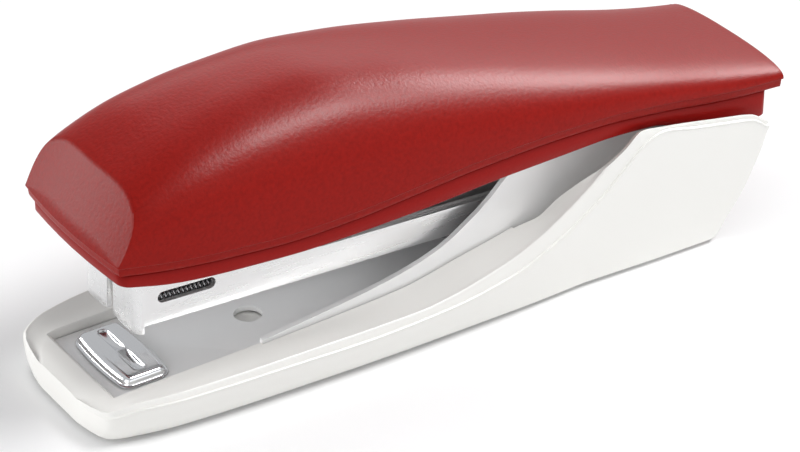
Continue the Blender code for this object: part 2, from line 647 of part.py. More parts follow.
def build_cap_skirt(frame):
    outer = skirt_outline(SKIRT_INSET)
    inner = skirt_outline(SKIRT_INSET + SKIRT_WALL)
    rows = []
    for (xo, yo), (xi, yi) in zip(outer, inner):
        bottom = smooth(SKIRT_BOTTOM, xo)
        top = smooth(CAP_CREASE, xo) - LIP_DROP - GAP
        rows.append([(xo, yo, bottom), (xo, yo, top), (xi, yi, top), (xi, yi, bottom)])
    rows.append(rows[0])
    return finish(loft("cap_skirt", rows, closed=True, capped=False, frame=frame), RED)


def build_press_arm(frame):
    top = [(-105.9, 14.6), (-60, 12.6), (-20, 10.5), (0, 7.5), (5, 5)]
    ear = [(5 * cos(a), 5 * sin(a)) for a in spread(0, -pi / 1.35, 8)]
    outline = top + ear + [(-12, 2.5), (-60, 7.0), (-88, 9.9), (-105.9, 10.5)]
    arm = prism("press_arm", outline, -ARM_HALF, ARM_HALF, frame=frame)
    hollow = [(-104.9, 13.6), (-60, 11.6), (-20, 9.5), (0, 6.5), (12, 2), (12, -9), (-104.9, -9)]
    inner = ARM_HALF - PLATE
    combine(arm, prism("arm_hollow", hollow, -inner, inner, frame=frame, cutter=True))
    combine(arm, rod("arm_pin_hole", PIN_HOLE_R, -20, 20, (0, 0, 0), "Y", frame, True, 32))
    for side, y in (("right", -3.5), ("left", 3.5)):
        combine(arm, rod(f"arm_rivet_hole_{side}", 1.2, -110, -100, (0, y, RIVET_V), "X", frame, True, 16))
    return arm


def build_blade(frame):
    blade = block("driver_blade", (-106.8, -6.2, -0.7), (-106.2, 6.2, 14.4), frame)
    for side, y in (("right", -3.5), ("left", 3.5)):
        combine(blade, rod(f"blade_rivet_hole_{side}", 1.2, -110, -100, (0, y, RIVET_V), "X", frame, True, 16))
        profile = [(0, -104.0), (1.4, -104.0), (1.4, -104.6), (0.9, -104.6), (0.9, -107.1), (1.3, -107.1),
                   (1.1, -107.6), (0, -107.6)]
        finish(turned(f"driver_rivet_{side}", profile, (0, y, RIVET_V), "X", frame, steps=16), DARK_STEEL)
    return finish(blade, STEEL)


def build_arm_screws(arm, frame):
    """Two screws hold the arm's top to the bosses of the cover, in the cover's frame."""
    for name, x, low in BOSSES:
        combine(arm, rod(f"arm_screw_hole_{name}", 1.8, low - 9, low + 1, (x, 0, 0), "Z", frame, True))
        head = low - 2.4
        profile = [(0, low + 6), (1.4, low + 6), (1.4, head), (2.8, head), (2.8, head - 1.2), (0, head - 1.2)]
        finish(turned(f"arm_screw_{name}", profile, (x, 0, 0), "Z", frame), DARK_STEEL)
    return finish(arm, STEEL)


def keep_world(obj, frame):
    """Hang an object that is drawn in world places on a frame, without moving it."""
    obj.parent = frame
    obj.matrix_parent_inverse = frame.matrix_world.inverted()


def main():
    global parts, cutters
    clear_scene()
    parts = new_collection("desk_stapler")
    cutters = new_collection("cutters")

    build_base_shell()
    build_bottom_cover()
    build_base_screws()
    build_feet()
    build_base_channel()
    build_anvil()
    build_lift_spring()
    build_pin()

    magazine_frame = frame_empty("magazine_frame", REST_TILT)
    build_magazine(magazine_frame)
    build_rail(magazine_frame)
    build_rear_block(magazine_frame)
    build_pusher(magazine_frame)
    build_cap_spring(magazine_frame)

    cap_frame = frame_empty("cap_frame")
    arm_frame = frame_empty("arm_frame", REST_TILT)
    bpy.context.view_layer.update()
    before = set(bpy.data.objects)
    build_cap_cover(None)
    build_cap_skirt(None)
    arm = build_press_arm(arm_frame)
    build_blade(arm_frame)
    build_arm_screws(arm, None)
    for obj in set(bpy.data.objects) - before:
        if obj.parent is None:
            keep_world(obj, cap_frame)
    bpy.context.view_layer.update()


main()
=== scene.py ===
# %% [markdown]
# # A desk stapler, piece by piece
#
# This lesson builds the visible surfaces of a small desk stapler around its CAD model: the red cap, the white
# base, the bright magazine between them, the anvil, and the springs and rivets inside. The CAD model gives
# the places and the joints. Each new piece stands for one of its parts and moves with the same body. Lengths
# in this file are millimetres, and MM turns them to metres where a mesh is made.

import json
from math import atan2, cos, degrees, hypot, pi, radians, sin, sqrt

import bpy
from mathutils import Matrix, Vector

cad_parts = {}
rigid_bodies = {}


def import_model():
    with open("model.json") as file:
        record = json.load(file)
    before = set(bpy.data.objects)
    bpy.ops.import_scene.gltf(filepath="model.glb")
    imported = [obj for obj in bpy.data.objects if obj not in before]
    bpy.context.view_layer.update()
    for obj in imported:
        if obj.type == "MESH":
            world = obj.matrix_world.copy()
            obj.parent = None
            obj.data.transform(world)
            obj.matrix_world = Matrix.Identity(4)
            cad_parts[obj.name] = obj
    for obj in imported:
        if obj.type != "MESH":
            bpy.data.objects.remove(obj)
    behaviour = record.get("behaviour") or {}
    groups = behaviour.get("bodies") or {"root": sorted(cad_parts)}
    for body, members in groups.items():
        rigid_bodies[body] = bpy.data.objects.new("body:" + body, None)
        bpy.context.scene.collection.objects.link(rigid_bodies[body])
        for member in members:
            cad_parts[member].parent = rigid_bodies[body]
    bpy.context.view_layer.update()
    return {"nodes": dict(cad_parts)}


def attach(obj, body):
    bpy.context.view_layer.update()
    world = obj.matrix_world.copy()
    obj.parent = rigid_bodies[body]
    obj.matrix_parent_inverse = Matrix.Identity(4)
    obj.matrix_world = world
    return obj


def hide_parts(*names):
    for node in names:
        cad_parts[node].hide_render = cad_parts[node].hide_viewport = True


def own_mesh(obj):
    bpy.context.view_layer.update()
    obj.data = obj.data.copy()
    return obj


for leftover in list(bpy.data.objects):
    bpy.data.objects.remove(leftover, do_unlink=True)

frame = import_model()
MM = 0.001

# %% [markdown]
# ## Working in object and edit mode
#
# An operator acts on everything that is selected, so one helper selects a single piece and makes it active.
# The others put a modifier on and apply it, cut one shape with another, and round the edges that are sharper
# than an angle. Moulded plastic and punched sheet have no true sharp edge, and a rounded one catches a thin
# line of light.


# %% Selecting, applying, cutting and rounding
def only(piece):
    bpy.ops.object.select_all(action="DESELECT")
    piece.select_set(True)
    bpy.context.view_layer.objects.active = piece


def apply_modifier(piece, kind, **settings):
    only(piece)
    modifier = piece.modifiers.new(kind.title(), kind)
    for key, value in settings.items():
        setattr(modifier, key, value)
    bpy.ops.object.modifier_apply(modifier=modifier.name)


def edit(piece, *steps):
    """Run edit-mode operators on the whole mesh, given as (operator, settings)."""
    only(piece)
    bpy.ops.object.mode_set(mode="EDIT")
    bpy.ops.mesh.select_all(action="SELECT")
    for operator, settings in steps:
        operator(**settings)
    bpy.ops.object.mode_set(mode="OBJECT")


def clean(piece, close=False):
    """Merge doubles, close open ends if asked, and point the faces outwards."""
    steps = [(bpy.ops.mesh.remove_doubles, {"threshold": 0.002 * MM})]
    if close:
        steps.append((bpy.ops.mesh.fill_holes, {"sides": 0}))
    steps.append((bpy.ops.mesh.normals_make_consistent, {"inside": False}))
    edit(piece, *steps)


def aim(piece, direction):
    """Turn an open skin's faces so that most of them look in a direction."""
    total = sum((face.normal * face.area for face in piece.data.polygons), Vector())
    if total.dot(Vector(direction)) < 0:
        edit(piece, (bpy.ops.mesh.flip_normals, {}))


def cut(piece, tool, operation="DIFFERENCE"):
    apply_modifier(piece, "BOOLEAN", object=tool, operation=operation, solver="EXACT")
    bpy.data.objects.remove(tool, do_unlink=True)


def round_edges(piece, width, segments=2, angle=32):
    apply_modifier(piece, "BEVEL", width=width * MM, segments=segments, limit_method="ANGLE",
                   angle_limit=radians(angle), use_clamp_overlap=True, miter_outer="MITER_ARC")


# %% [markdown]
# ## Rows of points
#
# Most of this stapler is drawn by sections: an outline that changes slowly along the length. So the basic
# shape is a grid from Blender's own primitives, whose rows are pulled onto the sections, as a loft would do
# in CAD. A ring joins its last column to its first when doubles are merged, and a turned piece is a ring
# around an axis.


# %% Skins, turned pieces, slabs and blocks
def skin(name, rows, close=False):
    """A grid whose rows of corners are pulled onto the given rows of points."""
    across, along = len(rows[0]) - 1, len(rows) - 1
    bpy.ops.object.select_all(action="DESELECT")
    bpy.ops.mesh.primitive_grid_add(x_subdivisions=across, y_subdivisions=along, size=2)
    piece = bpy.context.object
    piece.name = piece.data.name = name
    for vert in piece.data.vertices:
        column = round((vert.co.x + 1) / 2 * across)
        row = round((vert.co.y + 1) / 2 * along)
        vert.co = Vector(rows[row][column]) * MM
    clean(piece, close)
    return piece


def turned(name, profile, centre, axis, steps=48):
    """A solid of revolution: profile holds (radius, height) along the axis from one end to the other."""
    rows = []
    for radius, height in profile:
        ring = []
        for k in range(steps + 1):
            angle = 2 * pi * (k % steps) / steps
            a, b = radius * cos(angle), radius * sin(angle)
            offset = {"X": (height, a, b), "Y": (b, height, a), "Z": (a, b, height)}[axis]
            ring.append([c + d for c, d in zip(centre, offset)])
        rows.append(ring)
    return skin(name, rows)


def slab(name, outline, low, high, axis="Z"):
    """An outline given thickness along Z, in X and Y, or along Y, in X and Z."""
    ring = list(outline) + [outline[0]]
    rows = [[(a, b, level) if axis == "Z" else (a, level, b) for a, b in ring] for level in (low, high)]
    return skin(name, rows, close=True)


def block(name, low, high):
    """A box between two corners, from the cube primitive."""
    bpy.ops.object.select_all(action="DESELECT")
    middle = [(a + b) / 2 * MM for a, b in zip(low, high)]
    bpy.ops.mesh.primitive_cube_add(size=1, location=middle)
    piece = bpy.context.object
    piece.name = piece.data.name = name
    piece.scale = [(b - a) * MM for a, b in zip(low, high)]
    bpy.ops.object.transform_apply(location=True, rotation=True, scale=True)
    return piece


def spread(start, end, count):
    return [start + (end - start) * k / (count - 1) for k in range(count)]


def smooth(keys, x):
    """Value at x of a smooth curve through (position, value) keys that doesn't overshoot between them."""
    if x <= keys[0][0]:
        return keys[0][1]
    if x >= keys[-1][0]:
        return keys[-1][1]
    i = max(k for k in range(len(keys) - 1) if keys[k][0] <= x)
    slopes = []
    for k in (i, i + 1):
        before, after = secant(keys, k - 1), secant(keys, k)
        slopes.append(0.0 if before * after <= 0 else 2 * before * after / (before + after))
    (x0, y0), (x1, y1) = keys[i], keys[i + 1]
    width = x1 - x0
    t = (x - x0) / width
    return (y0 * (1 + 2 * t) * (1 - t) ** 2 + y1 * t * t * (3 - 2 * t)
            + width * (slopes[0] * t * (1 - t) ** 2 - slopes[1] * t * t * (1 - t)))


def secant(keys, k):
    k = min(max(k, 0), len(keys) - 2)
    return (keys[k + 1][1] - keys[k][1]) / (keys[k + 1][0] - keys[k][0])


def resample(points, count):
    """The same line with its points evenly spaced along it."""
    travelled = [0.0]
    for a, b in zip(points, points[1:]):
        travelled.append(travelled[-1] + (Vector(b) - Vector(a)).length)
    even, k = [], 0
    for target in spread(0, travelled[-1], count):
        while k < len(points) - 2 and travelled[k + 1] < target:
            k += 1
        span = travelled[k + 1] - travelled[k]
        t = 0 if span == 0 else min(1, (target - travelled[k]) / span)
        even.append(tuple(Vector(points[k]).lerp(Vector(points[k + 1]), t)))
    return even


def rounded(corners, steps=6):
    """A closed outline with its corners rounded. Each corner is (x, y, radius)."""
    outline = []
    for k, (x, y, radius) in enumerate(corners):
        here = Vector((x, y))
        before = (Vector(corners[k - 1][:2]) - here).normalized()
        after = (Vector(corners[(k + 1) % len(corners)][:2]) - here).normalized()
        if radius == 0:
            outline.append((x, y))
            continue
        half = before.angle(after) / 2
        middle = here + (before + after).normalized() * radius / sin(half)
        start = here + before * radius * cos(half) / sin(half) - middle
        end = here + after * radius * cos(half) / sin(half) - middle
        turn = start.angle_signed(end)
        first = atan2(start.y, start.x)
        for t in spread(0, -turn, steps):
            outline.append((middle.x + radius * cos(first + t), middle.y + radius * sin(first + t)))
    return outline


# %% [markdown]
# ## Colour and finish
#
# Colours are picked as sRGB hex and the shader wants linear light, so one function turns them. A second adds
# any node with its settings and links.


# %% Colours and nodes
def linear(code):
    channels = [int(code[k:k + 2], 16) / 255 for k in (1, 3, 5)]
    return tuple(c / 12.92 if c <= 0.04045 else ((c + 0.055) / 1.055) ** 2.4 for c in channels) + (1.0,)


def add(owner, kind, inputs=(), **settings):
    """Add a node, set its properties, and fill its sockets with values or links."""
    node = owner.node_tree.nodes.new(kind)
    for key, value in settings.items():
        setattr(node, key, value)
    for key, value in dict(inputs).items():
        if isinstance(value, bpy.types.NodeSocket):
            owner.node_tree.links.new(value, node.inputs[key])
        else:
            node.inputs[key].default_value = value
    return node


def material(name, colour, roughness, metallic=0.0, **sockets):
    """A Principled material. Extra sockets are named with underscores for spaces."""
    look = bpy.data.materials.new(name)
    look.use_nodes = True
    shader = look.node_tree.nodes["Principled BSDF"]
    values = {"Base Color": linear(colour), "Roughness": roughness, "Metallic": metallic}
    values.update({key.replace("_", " "): value for key, value in sockets.items()})
    for key, value in values.items():
        shader.inputs[key].default_value = value
    look.diffuse_color = linear(colour)
    return look


def grain(look, size, depth, stretch=(1, 1, 1), detail=2.0, strength=1.0):
    """Surface grain: size is the width of one grain and depth its height, in millimetres."""
    place = add(look, "ShaderNodeTexCoord")
    mapped = add(look, "ShaderNodeMapping", {"Vector": place.outputs["Object"], "Scale": stretch})
    noise = add(look, "ShaderNodeTexNoise", {"Vector": mapped.outputs["Vector"], "Scale": 0.5 / (size * MM),
                                             "Detail": detail})
    bump = add(look, "ShaderNodeBump", {"Height": noise.outputs["Fac"], "Distance": depth * MM,
                                        "Strength": strength})
    shader = look.node_tree.nodes["Principled BSDF"]
    look.node_tree.links.new(bump.outputs["Normal"], shader.inputs["Normal"])
    return noise


COLOUR_A, COLOUR_B, COLOUR_OUT = 6, 7, 2  # a Mix node's colour sockets, by number


def vary(look, noise, socket, low, high):
    """Let a noise move a socket between two values, or two colours."""
    shader = look.node_tree.nodes["Principled BSDF"]
    if isinstance(low, str):
        blend = add(look, "ShaderNodeMix", {"Factor": noise.outputs["Fac"]}, data_type="RGBA")
        blend.inputs[COLOUR_A].default_value, blend.inputs[COLOUR_B].default_value = linear(low), linear(high)
        look.node_tree.links.new(blend.outputs[COLOUR_OUT], shader.inputs[socket])
        return
    ranged = add(look, "ShaderNodeMapRange", {"Value": noise.outputs["Fac"], "To Min": low, "To Max": high})
    look.node_tree.links.new(ranged.outputs["Result"], shader.inputs[socket])


# %% [markdown]
# ## The plastics
#
# The cap and its skirt are ABS, moulded in red. The mould was spark-eroded, which leaves a fine even grain of
# about a third of a millimetre, so highlights break up a little. The base is the same plastic in warm white,
# from a smoother mould. The bottom cover is grey polypropylene, the feet are rubber, and the block behind the
# rail is black nylon. The red's specular level is set far below a real plastic's, because the white floor
# mirrored in its sides washed the colour out.

# %% Plastic materials
RED_ABS = material("moulded_red_abs", "#8F130D", 0.36, IOR=1.5, Specular_IOR_Level=0.1)
red_noise = grain(RED_ABS, 0.34, 0.045)
vary(RED_ABS, red_noise, "Base Color", "#7A0F0A", "#9A160E")
vary(RED_ABS, red_noise, "Roughness", 0.33, 0.42)

RED_SKIRT = material("moulded_red_abs_smooth", "#8E120D", 0.33, IOR=1.5, Specular_IOR_Level=0.1)
vary(RED_SKIRT, grain(RED_SKIRT, 0.25, 0.010), "Base Color", "#86100C", "#961511")

WHITE_ABS = material("moulded_white_abs", "#E9E8E4", 0.30, IOR=1.54)
vary(WHITE_ABS, grain(WHITE_ABS, 0.6, 0.004), "Roughness", 0.27, 0.34)

GREY_PP = material("moulded_grey_polypropylene", "#A3A3A0", 0.5, IOR=1.49)
vary(GREY_PP, grain(GREY_PP, 0.5, 0.02), "Roughness", 0.45, 0.58)

RUBBER = material("moulded_black_rubber", "#1C1C1C", 0.75, IOR=1.52)
vary(RUBBER, grain(RUBBER, 0.3, 0.03), "Roughness", 0.68, 0.82)

NYLON = material("moulded_black_nylon", "#161617", 0.42, IOR=1.53)
vary(NYLON, grain(NYLON, 0.25, 0.015), "Roughness", 0.38, 0.5)

# %% [markdown]
# ## The metals
#
# The magazine, the base plate and the press arm are cold-rolled sheet with bright nickel on it. Rolling
# leaves lines along the sheet, drawn a little wider here so that they show. The anvil is hard chrome over a
# polished stamping. Springs are drawn wire and blued strip, and the rivets and screws have dull zinc on them.
# A metal keeps the default IOR: its colour and roughness do the work. The two nickels are set below fully
# metallic, which no real metal is, so that they stay pale where they mirror something dark.

# %% Metal materials
NICKEL = material("bright_nickel_sheet", "#E6E6E6", 0.28, metallic=0.8)
vary(NICKEL, grain(NICKEL, 0.22, 0.0006, stretch=(0.04, 1, 1)), "Roughness", 0.24, 0.33)

PLATE_NICKEL = material("satin_nickel_plate", "#EEEEEE", 0.36, metallic=0.4)
vary(PLATE_NICKEL, grain(PLATE_NICKEL, 0.25, 0.0008, stretch=(0.04, 1, 1)), "Roughness", 0.32, 0.42)

CHROME = material("polished_chrome", "#E8E9EB", 0.14, metallic=1.0)
vary(CHROME, grain(CHROME, 0.6, 0.001), "Roughness", 0.11, 0.18)

SPRING = material("drawn_spring_steel", "#B9B9BB", 0.25, metallic=1.0)
vary(SPRING, grain(SPRING, 0.15, 0.002), "Roughness", 0.2, 0.32)

HARD_STEEL = material("hardened_steel_strip", "#8E8E91", 0.32, metallic=1.0)
vary(HARD_STEEL, grain(HARD_STEEL, 0.2, 0.004, stretch=(0.1, 1, 1)), "Roughness", 0.27, 0.4)

ZINC = material("zinc_plated_fastener", "#A9ABAE", 0.38, metallic=1.0)
vary(ZINC, grain(ZINC, 0.3, 0.006), "Roughness", 0.32, 0.48)


# %% [markdown]
# ## Handing a piece over
#
# When a shape is finished it is shaded smooth up to an angle, gets its material, rides on its body, and hides
# the CAD nodes it stands for.


# %% The last step for every piece
def done(piece, body, slot, look, *nodes, angle=35):
    only(piece)
    bpy.ops.object.shade_smooth_by_angle(angle=radians(angle))
    piece.data.materials.clear()
    piece.data.materials.append(look)
    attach(piece, body)
    if nodes:
        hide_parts(*nodes)
    print(f"{piece.name}: {len(piece.data.polygons)} faces on {body}")
    return piece


# %% [markdown]
# ## The cap's form
#
# From the side the cap is a long wave: it swells behind the nose and runs out flat to the tail. From above
# its sides bow a little. Each section is an arch, nearly a superellipse, squarer at the nose. The nose is cut
# off by a face that leans back and bows forward. The curves are keys, (position along the stapler, value),
# and the arches near the nose are bent over until the first lies in the nose face.

# %% Curves of the cap
CAP_HALF = [(-68.1, 16.2), (-60, 17.6), (-48, 18.9), (-30, 19.7), (-10, 19.9), (15, 19.5), (35, 18.8),
            (55, 17.7), (72.5, 17.0)]
CAP_CREASE = [(-68.1, 35.5), (-57, 34.4), (-46, 33.7), (-35, 33.2), (-23, 33.5), (-11, 34.4), (2, 35.2),
              (15, 35.4), (28, 34.9), (42, 33.2), (56, 30.7), (64, 29.6), (72.5, 28.8)]
CAP_CROWN = [(-68.1, 43.0), (-62, 47.0), (-50, 51.6), (-38, 53.8), (-26, 54.5), (-12, 52.8), (5, 49.2),
             (22, 44.8), (40, 40.1), (56, 35.7), (72.5, 31.5)]
CAP_SQUARENESS = [(-68.1, 3.7), (-60, 3.5), (-45, 3.0), (-28, 2.75), (30, 2.7), (72.5, 2.4)]
SKIRT_BOTTOM = [(-68.1, 31.1), (-57, 29.3), (-46, 28.7), (-30, 28.2), (-10, 28.6), (9, 29.3), (28, 29.4),
                (42, 28.2), (50, 25.0), (56, 22.0), (72.5, 21.5)]
TAIL_X = 72.5
NOSE_FOOT, NOSE_SLOPE, NOSE_BOW = -68.1, 0.55, 1.0


def nose_x(y, z):
    corner = CAP_HALF[0][1]
    return NOSE_FOOT + NOSE_SLOPE * (z - CAP_CREASE[0][1]) - NOSE_BOW * (1 - (y / corner) ** 2)


def cap_point(x, angle):
    """A point of the crown: angle runs from one crease, over the top, to the other."""
    power = 2 / smooth(CAP_SQUARENESS, x)
    crease = smooth(CAP_CREASE, x)
    across, up = cos(angle), max(sin(angle), 0)
    y = smooth(CAP_HALF, x) * abs(across) ** power * (1 if across >= 0 else -1)
    return x, y, crease + (smooth(CAP_CROWN, x) - crease) * up ** power


def cap_arch(start, blend, count=61):
    """One arch over the cap. A blend of 1 lies in the nose face and 0 stands upright at start."""
    points = []
    for angle in spread(0, pi, 241):
        x = start
        for _ in range(12):
            _, y, z = cap_point(x, angle)
            x = start + (nose_x(y, z) - start) * blend
        points.append((x, y, z))
    return resample(points, count)


print("crown is", round(smooth(CAP_CROWN, -26), 1), "mm up at its highest")

# %% [markdown]
# ## The cap's cover
#
# Below the crown two narrow bands run round the cap: a lip that belongs to the cover, and the skirt of the
# next step. Between crown and lip there is a ledge of a quarter of a millimetre, whose rounded edge draws a
# fine line of light. The lip's points are the same for every section, as (step inwards, step down). The wall
# comes from Solidify, and two screw bosses stand inside.

# %% The cover
LIP = [(0.60, 1.90), (0.48, 1.88), (0.40, 1.76), (0.34, 1.20), (0.30, 0.42), (0.26, 0.30), (0.10, 0.24),
       (0.02, 0.14)]
COVER_WALL = 1.8
FACE_STEPS = (0.06, 0.2, 0.4, 0.6, 0.8, 1.0)


def lipped(arch):
    """An arch with the lip's points before and after it."""
    (x, y, z), (x_far, y_far, z_far) = arch[0], arch[-1]
    near = [(x, y - inset, z - drop) for inset, drop in LIP]
    far = [(x_far, y_far + inset, z_far - drop) for inset, drop in reversed(LIP)]
    return near + arch + far


def end_rows(arch, x_of, inward):
    """Rows from an end arch down its face, over the ledge and down the lip."""
    foot, half = arch[0][2], arch[0][1]
    across = spread(half, -half, len(arch))
    rows = []
    for t in FACE_STEPS:
        row = []
        for (_, y, z), y_foot in zip(arch, across):
            y_here, z_here = y + (y_foot - y) * t, z + (foot - z) * t
            row.append((x_of(y_here, z_here), y_here, z_here))
        rows.append(row)
    for inset, drop in reversed(LIP):
        scale = (half - inset) / half
        rows.append([(x_of(y, foot) + inward * inset, y * scale, foot - drop) for y in across])
    lips = [row[0] for row in rows[-len(LIP):]], [row[-1] for row in rows[-len(LIP):]]
    full = []
    for k, row in enumerate(rows):
        level = max(0, k - len(FACE_STEPS) + 1)
        near = list(reversed(lips[0][level:])) + [row[0]] * level
        far = [row[-1]] * level + lips[1][level:]
        full.append(near[:len(LIP)] + row + far[-len(LIP):])
    return full


def build_cover():
    arches = [cap_arch(-52, blend) for blend in (1.0, 0.96, 0.88, 0.76, 0.62, 0.48, 0.34, 0.2, 0.1)]
    arches += [cap_arch(x, 0) for x in spread(-52, 71.6, 62)] + [cap_arch(TAIL_X, 0)]
    middle = [lipped(arch) for arch in arches]
    front = end_rows(arches[0], nose_x, 1)
    back = end_rows(arches[-1], lambda y, z: TAIL_X, -1)
    lips = len(LIP)
    for row, end in ((middle[0], front), (middle[-1], back)):
        row[:lips] = end[0][:lips]
        row[-lips:] = end[0][-lips:]
    cover = skin("cap_cover_moulding", list(reversed(front)) + middle + back)
    aim(cover, (0, 0, 1))
    apply_modifier(cover, "SOLIDIFY", thickness=COVER_WALL * MM, offset=-1, use_even_offset=False)
    round_edges(cover, 0.35, 3, 42)
    return done(cover, "cap", "red_cover", RED_ABS, "cap_cover", angle=40)


build_cover()

BOSSES = (("front", -46.0, 39.8), ("rear", 20.0, 33.4))
for end, x, low in BOSSES:
    top = smooth(CAP_CROWN, x) - 1.2
    tube = [(3.2, top), (3.2, low + 0.3), (3.0, low), (1.8, low), (1.6, low + 0.3), (1.6, low + 7),
            (0, low + 7)]
    done(turned(f"cap_boss_{end}", tube, (x, 0, 0), "Z"), "cap", "red_cover", RED_ABS)

# %% [markdown]
# ## The skirt
#
# The skirt is its own moulding under the cover, nearly a millimetre further in, with softly rounded corners
# at the nose. It is a ring: a plan outline all the way round, and at every point of it the same small wall
# section. Near the tail it drops to close the space over the hinge.

# %% The skirt
SKIRT_INSET, SKIRT_WALL = 0.9, 1.6
SKIRT_EDGE = 0.28


def skirt_plan(inset):
    """Plan outline of the cap moved inwards, round the nose, along a side, round the tail and back."""
    nose_half = smooth(CAP_HALF, -66.5) - inset
    corners = []
    for t in (0.86, 0.6, 0.3, 0, -0.3, -0.6, -0.86):
        corners.append((nose_x(nose_half * t, CAP_CREASE[0][1]) + inset, nose_half * t, 0))
    corner_x = nose_x(nose_half, CAP_CREASE[0][1]) + inset
    side = [(x, smooth(CAP_HALF, x) - inset, 0) for x in spread(-63.4, 66.5, 60)]
    tail_x = 70.4 - inset
    tail_half = smooth(CAP_HALF, tail_x) - inset
    radius = max(0.6, 3.0 - inset)
    right = [(corner_x, -nose_half, radius)] + [(x, -y, 0) for x, y, _ in side] + [(tail_x, -tail_half, 1.5)]
    left = [(x, -y, r) for x, y, r in reversed(right)]
    return rounded(corners + right + left, steps=8)


def build_skirt():
    outer, inner = skirt_plan(SKIRT_INSET), skirt_plan(SKIRT_INSET + SKIRT_WALL)
    rows = []
    for (xo, yo), (xi, yi) in zip(outer, inner):
        bottom = smooth(SKIRT_BOTTOM, xo)
        top = smooth(CAP_CREASE, xo) - LIP[0][1] - 0.3
        section = [(0, bottom + SKIRT_EDGE), (0, top - SKIRT_EDGE), (0.08, top - 0.08), (0.2, top), (0.8, top),
                   (1, top - 0.15), (1, bottom + 0.15), (0.8, bottom), (0.2, bottom), (0.08, bottom + 0.08),
                   (0, bottom + SKIRT_EDGE)]
        rows.append([(xo + (xi - xo) * t, yo + (yi - yo) * t, z) for t, z in section])
    rows.append(rows[0])
    return done(skin("cap_skirt_moulding", rows), "cap", "red_skirt", RED_SKIRT, "cap_skirt", angle=50)


build_skirt()

# %% [markdown]
# ## The base's form
#
# The white base is low and flat in front, and its sides sweep up into cheeks that hold the hinge. Two fine
# ridges run along each flank, wider apart as they climb. Inside them a shallow shelf falls to the rim of the
# steel plate. The outer form is one closed skin of sections. The recess and the pocket are cut out of it with
# cutters that flare at the top, so that the rims come out rounded.

# %% Curves of the base
FOOT_H = 0.6
PLATE_TOP = 5.8
BASE_HALF = [(-72.5, 9.0), (-71.6, 14.0), (-70.2, 16.4), (-66, 17.8), (-58, 19.3), (-40, 20.5), (-10, 21.4),
             (10, 21.4), (30, 20.8), (50, 20.3), (67.2, 20.0)]
UPPER_RIDGE = [(-72.5, 6.3), (-70, 7.3), (-66, 8.4), (-40, 8.8), (-11, 9.1), (-4, 9.9), (2, 11.2), (8.5, 13.0),
               (15, 15.7), (21.5, 19.3), (28, 23.8), (33, 28.4), (35.5, 30.2), (42, 29.3), (56, 26.7),
               (63, 25.2), (67.2, 22.5)]
LOWER_RIDGE = [(-72.5, 5.4), (-70, 6.4), (-66, 7.4), (-42, 7.4), (-24, 7.2), (-4.8, 7.9), (8.2, 9.9),
               (14.7, 12.2), (21.3, 15.3), (27.8, 19.2), (34, 24.2), (38, 27.4), (41.5, 28.6), (49, 27.0),
               (56, 25.6), (63, 24.1), (67.2, 21.4)]
INNER_HALF = [(-72.5, 5.0), (-70, 9.0), (-66, 11.9), (-40, 12.5), (8, 12.5), (14, 13.0), (18.5, 14.2),
              (22.2, 15.5), (25.4, 17.3), (29.8, 18.4), (36, 18.95), (60, 18.9), (67.2, 18.8)]
INNER_TOP = [(-72.5, 6.2), (-70, 7.1), (-66, 7.6), (-40, 8.0), (-24, 8.5), (-10.5, 9.2), (2, 11.5),
             (18, 15.2), (22.2, 19.0), (25.4, 22.0), (29.8, 24.4), (33.7, 27.0), (37.3, 29.6),
             (42, 29.0), (56, 26.4), (63, 24.9), (67.2, 22.2)]
UNDERSIDE = [(-72.5, 0.9), (54.5, 0.9), (55.6, 1.1), (56.6, 1.9), (58.2, 4.2), (61.9, 9.0), (64.2, 13.2),
             (66.2, 17.4), (67.2, 20.5)]
ROLL_UNDER = [(26, 2.0), (45, 0.75), (55, 0.35)]  # how far the flank's foot tucks in
RIDGE_LEAN, CHEEK_LEAN, CHEEK_START = 0.9, 0.6, 36  # how far in the upper ridge stands from the lower
SHELF_STEPS = 7


def base_section(x):
    """Half an outline at x: round the bottom edge, up the flank, over both ridges, across the shelf."""
    half = smooth(BASE_HALF, x)
    ridge = smooth(UPPER_RIDGE, x)
    inner = min(smooth(INNER_HALF, x), half - 1.0)
    inner_top = smooth(INNER_TOP, x)
    lean = RIDGE_LEAN if x < CHEEK_START else max(CHEEK_LEAN, RIDGE_LEAN - (x - CHEEK_START) * 0.05)
    bottom = smooth(UNDERSIDE, x)
    lower = max(smooth(LOWER_RIDGE, x), bottom + (ridge - bottom) * 0.6)
    flank = lower - bottom
    roll = smooth(ROLL_UNDER, x)
    points = [(half - roll * 1.7, bottom)]
    for t in spread(0.0, 1.0, 7):  # the flank rolls under towards the desk
        tuck = roll * (1 - t) ** 2.2
        points.append((half - 0.12 - tuck, bottom + 0.1 + (flank - 0.45) * t))
    points += [(half - 0.03, lower - 0.2), (half, lower - 0.05), (half - 0.05, lower + 0.1),
               (half - 0.2, lower + 0.2), (half - 0.38, lower + 0.22), (half - lean + 0.22, ridge - 0.3),
               (half - lean + 0.12, ridge - 0.12), (half - lean - 0.02, ridge),
               (half - lean - 0.2, ridge + 0.02), (half - lean - 0.4, ridge - 0.08)]
    shelf, shelf_top = half - lean - 0.4, ridge - 0.08
    sag = 0.35 * min(1.0, (half - inner) / 6)
    for t in spread(0.1, 1.0, SHELF_STEPS):
        points.append((shelf + (inner - shelf) * t,
                       shelf_top + (inner_top - shelf_top) * t - sag * sin(pi * t)))
    return points


print("flank at the middle:", [round(c, 2) for c in base_section(0)[9]])

# %% [markdown]
# ## Cutting the base
#
# Each cutter is a skin too. Its wall goes straight up to just below the rim and then turns outwards, and
# because it is made of sections it can follow the rim as it rises along the shelf. The front wall of the
# recess slopes, so the first sections of its cutter start high and step down.

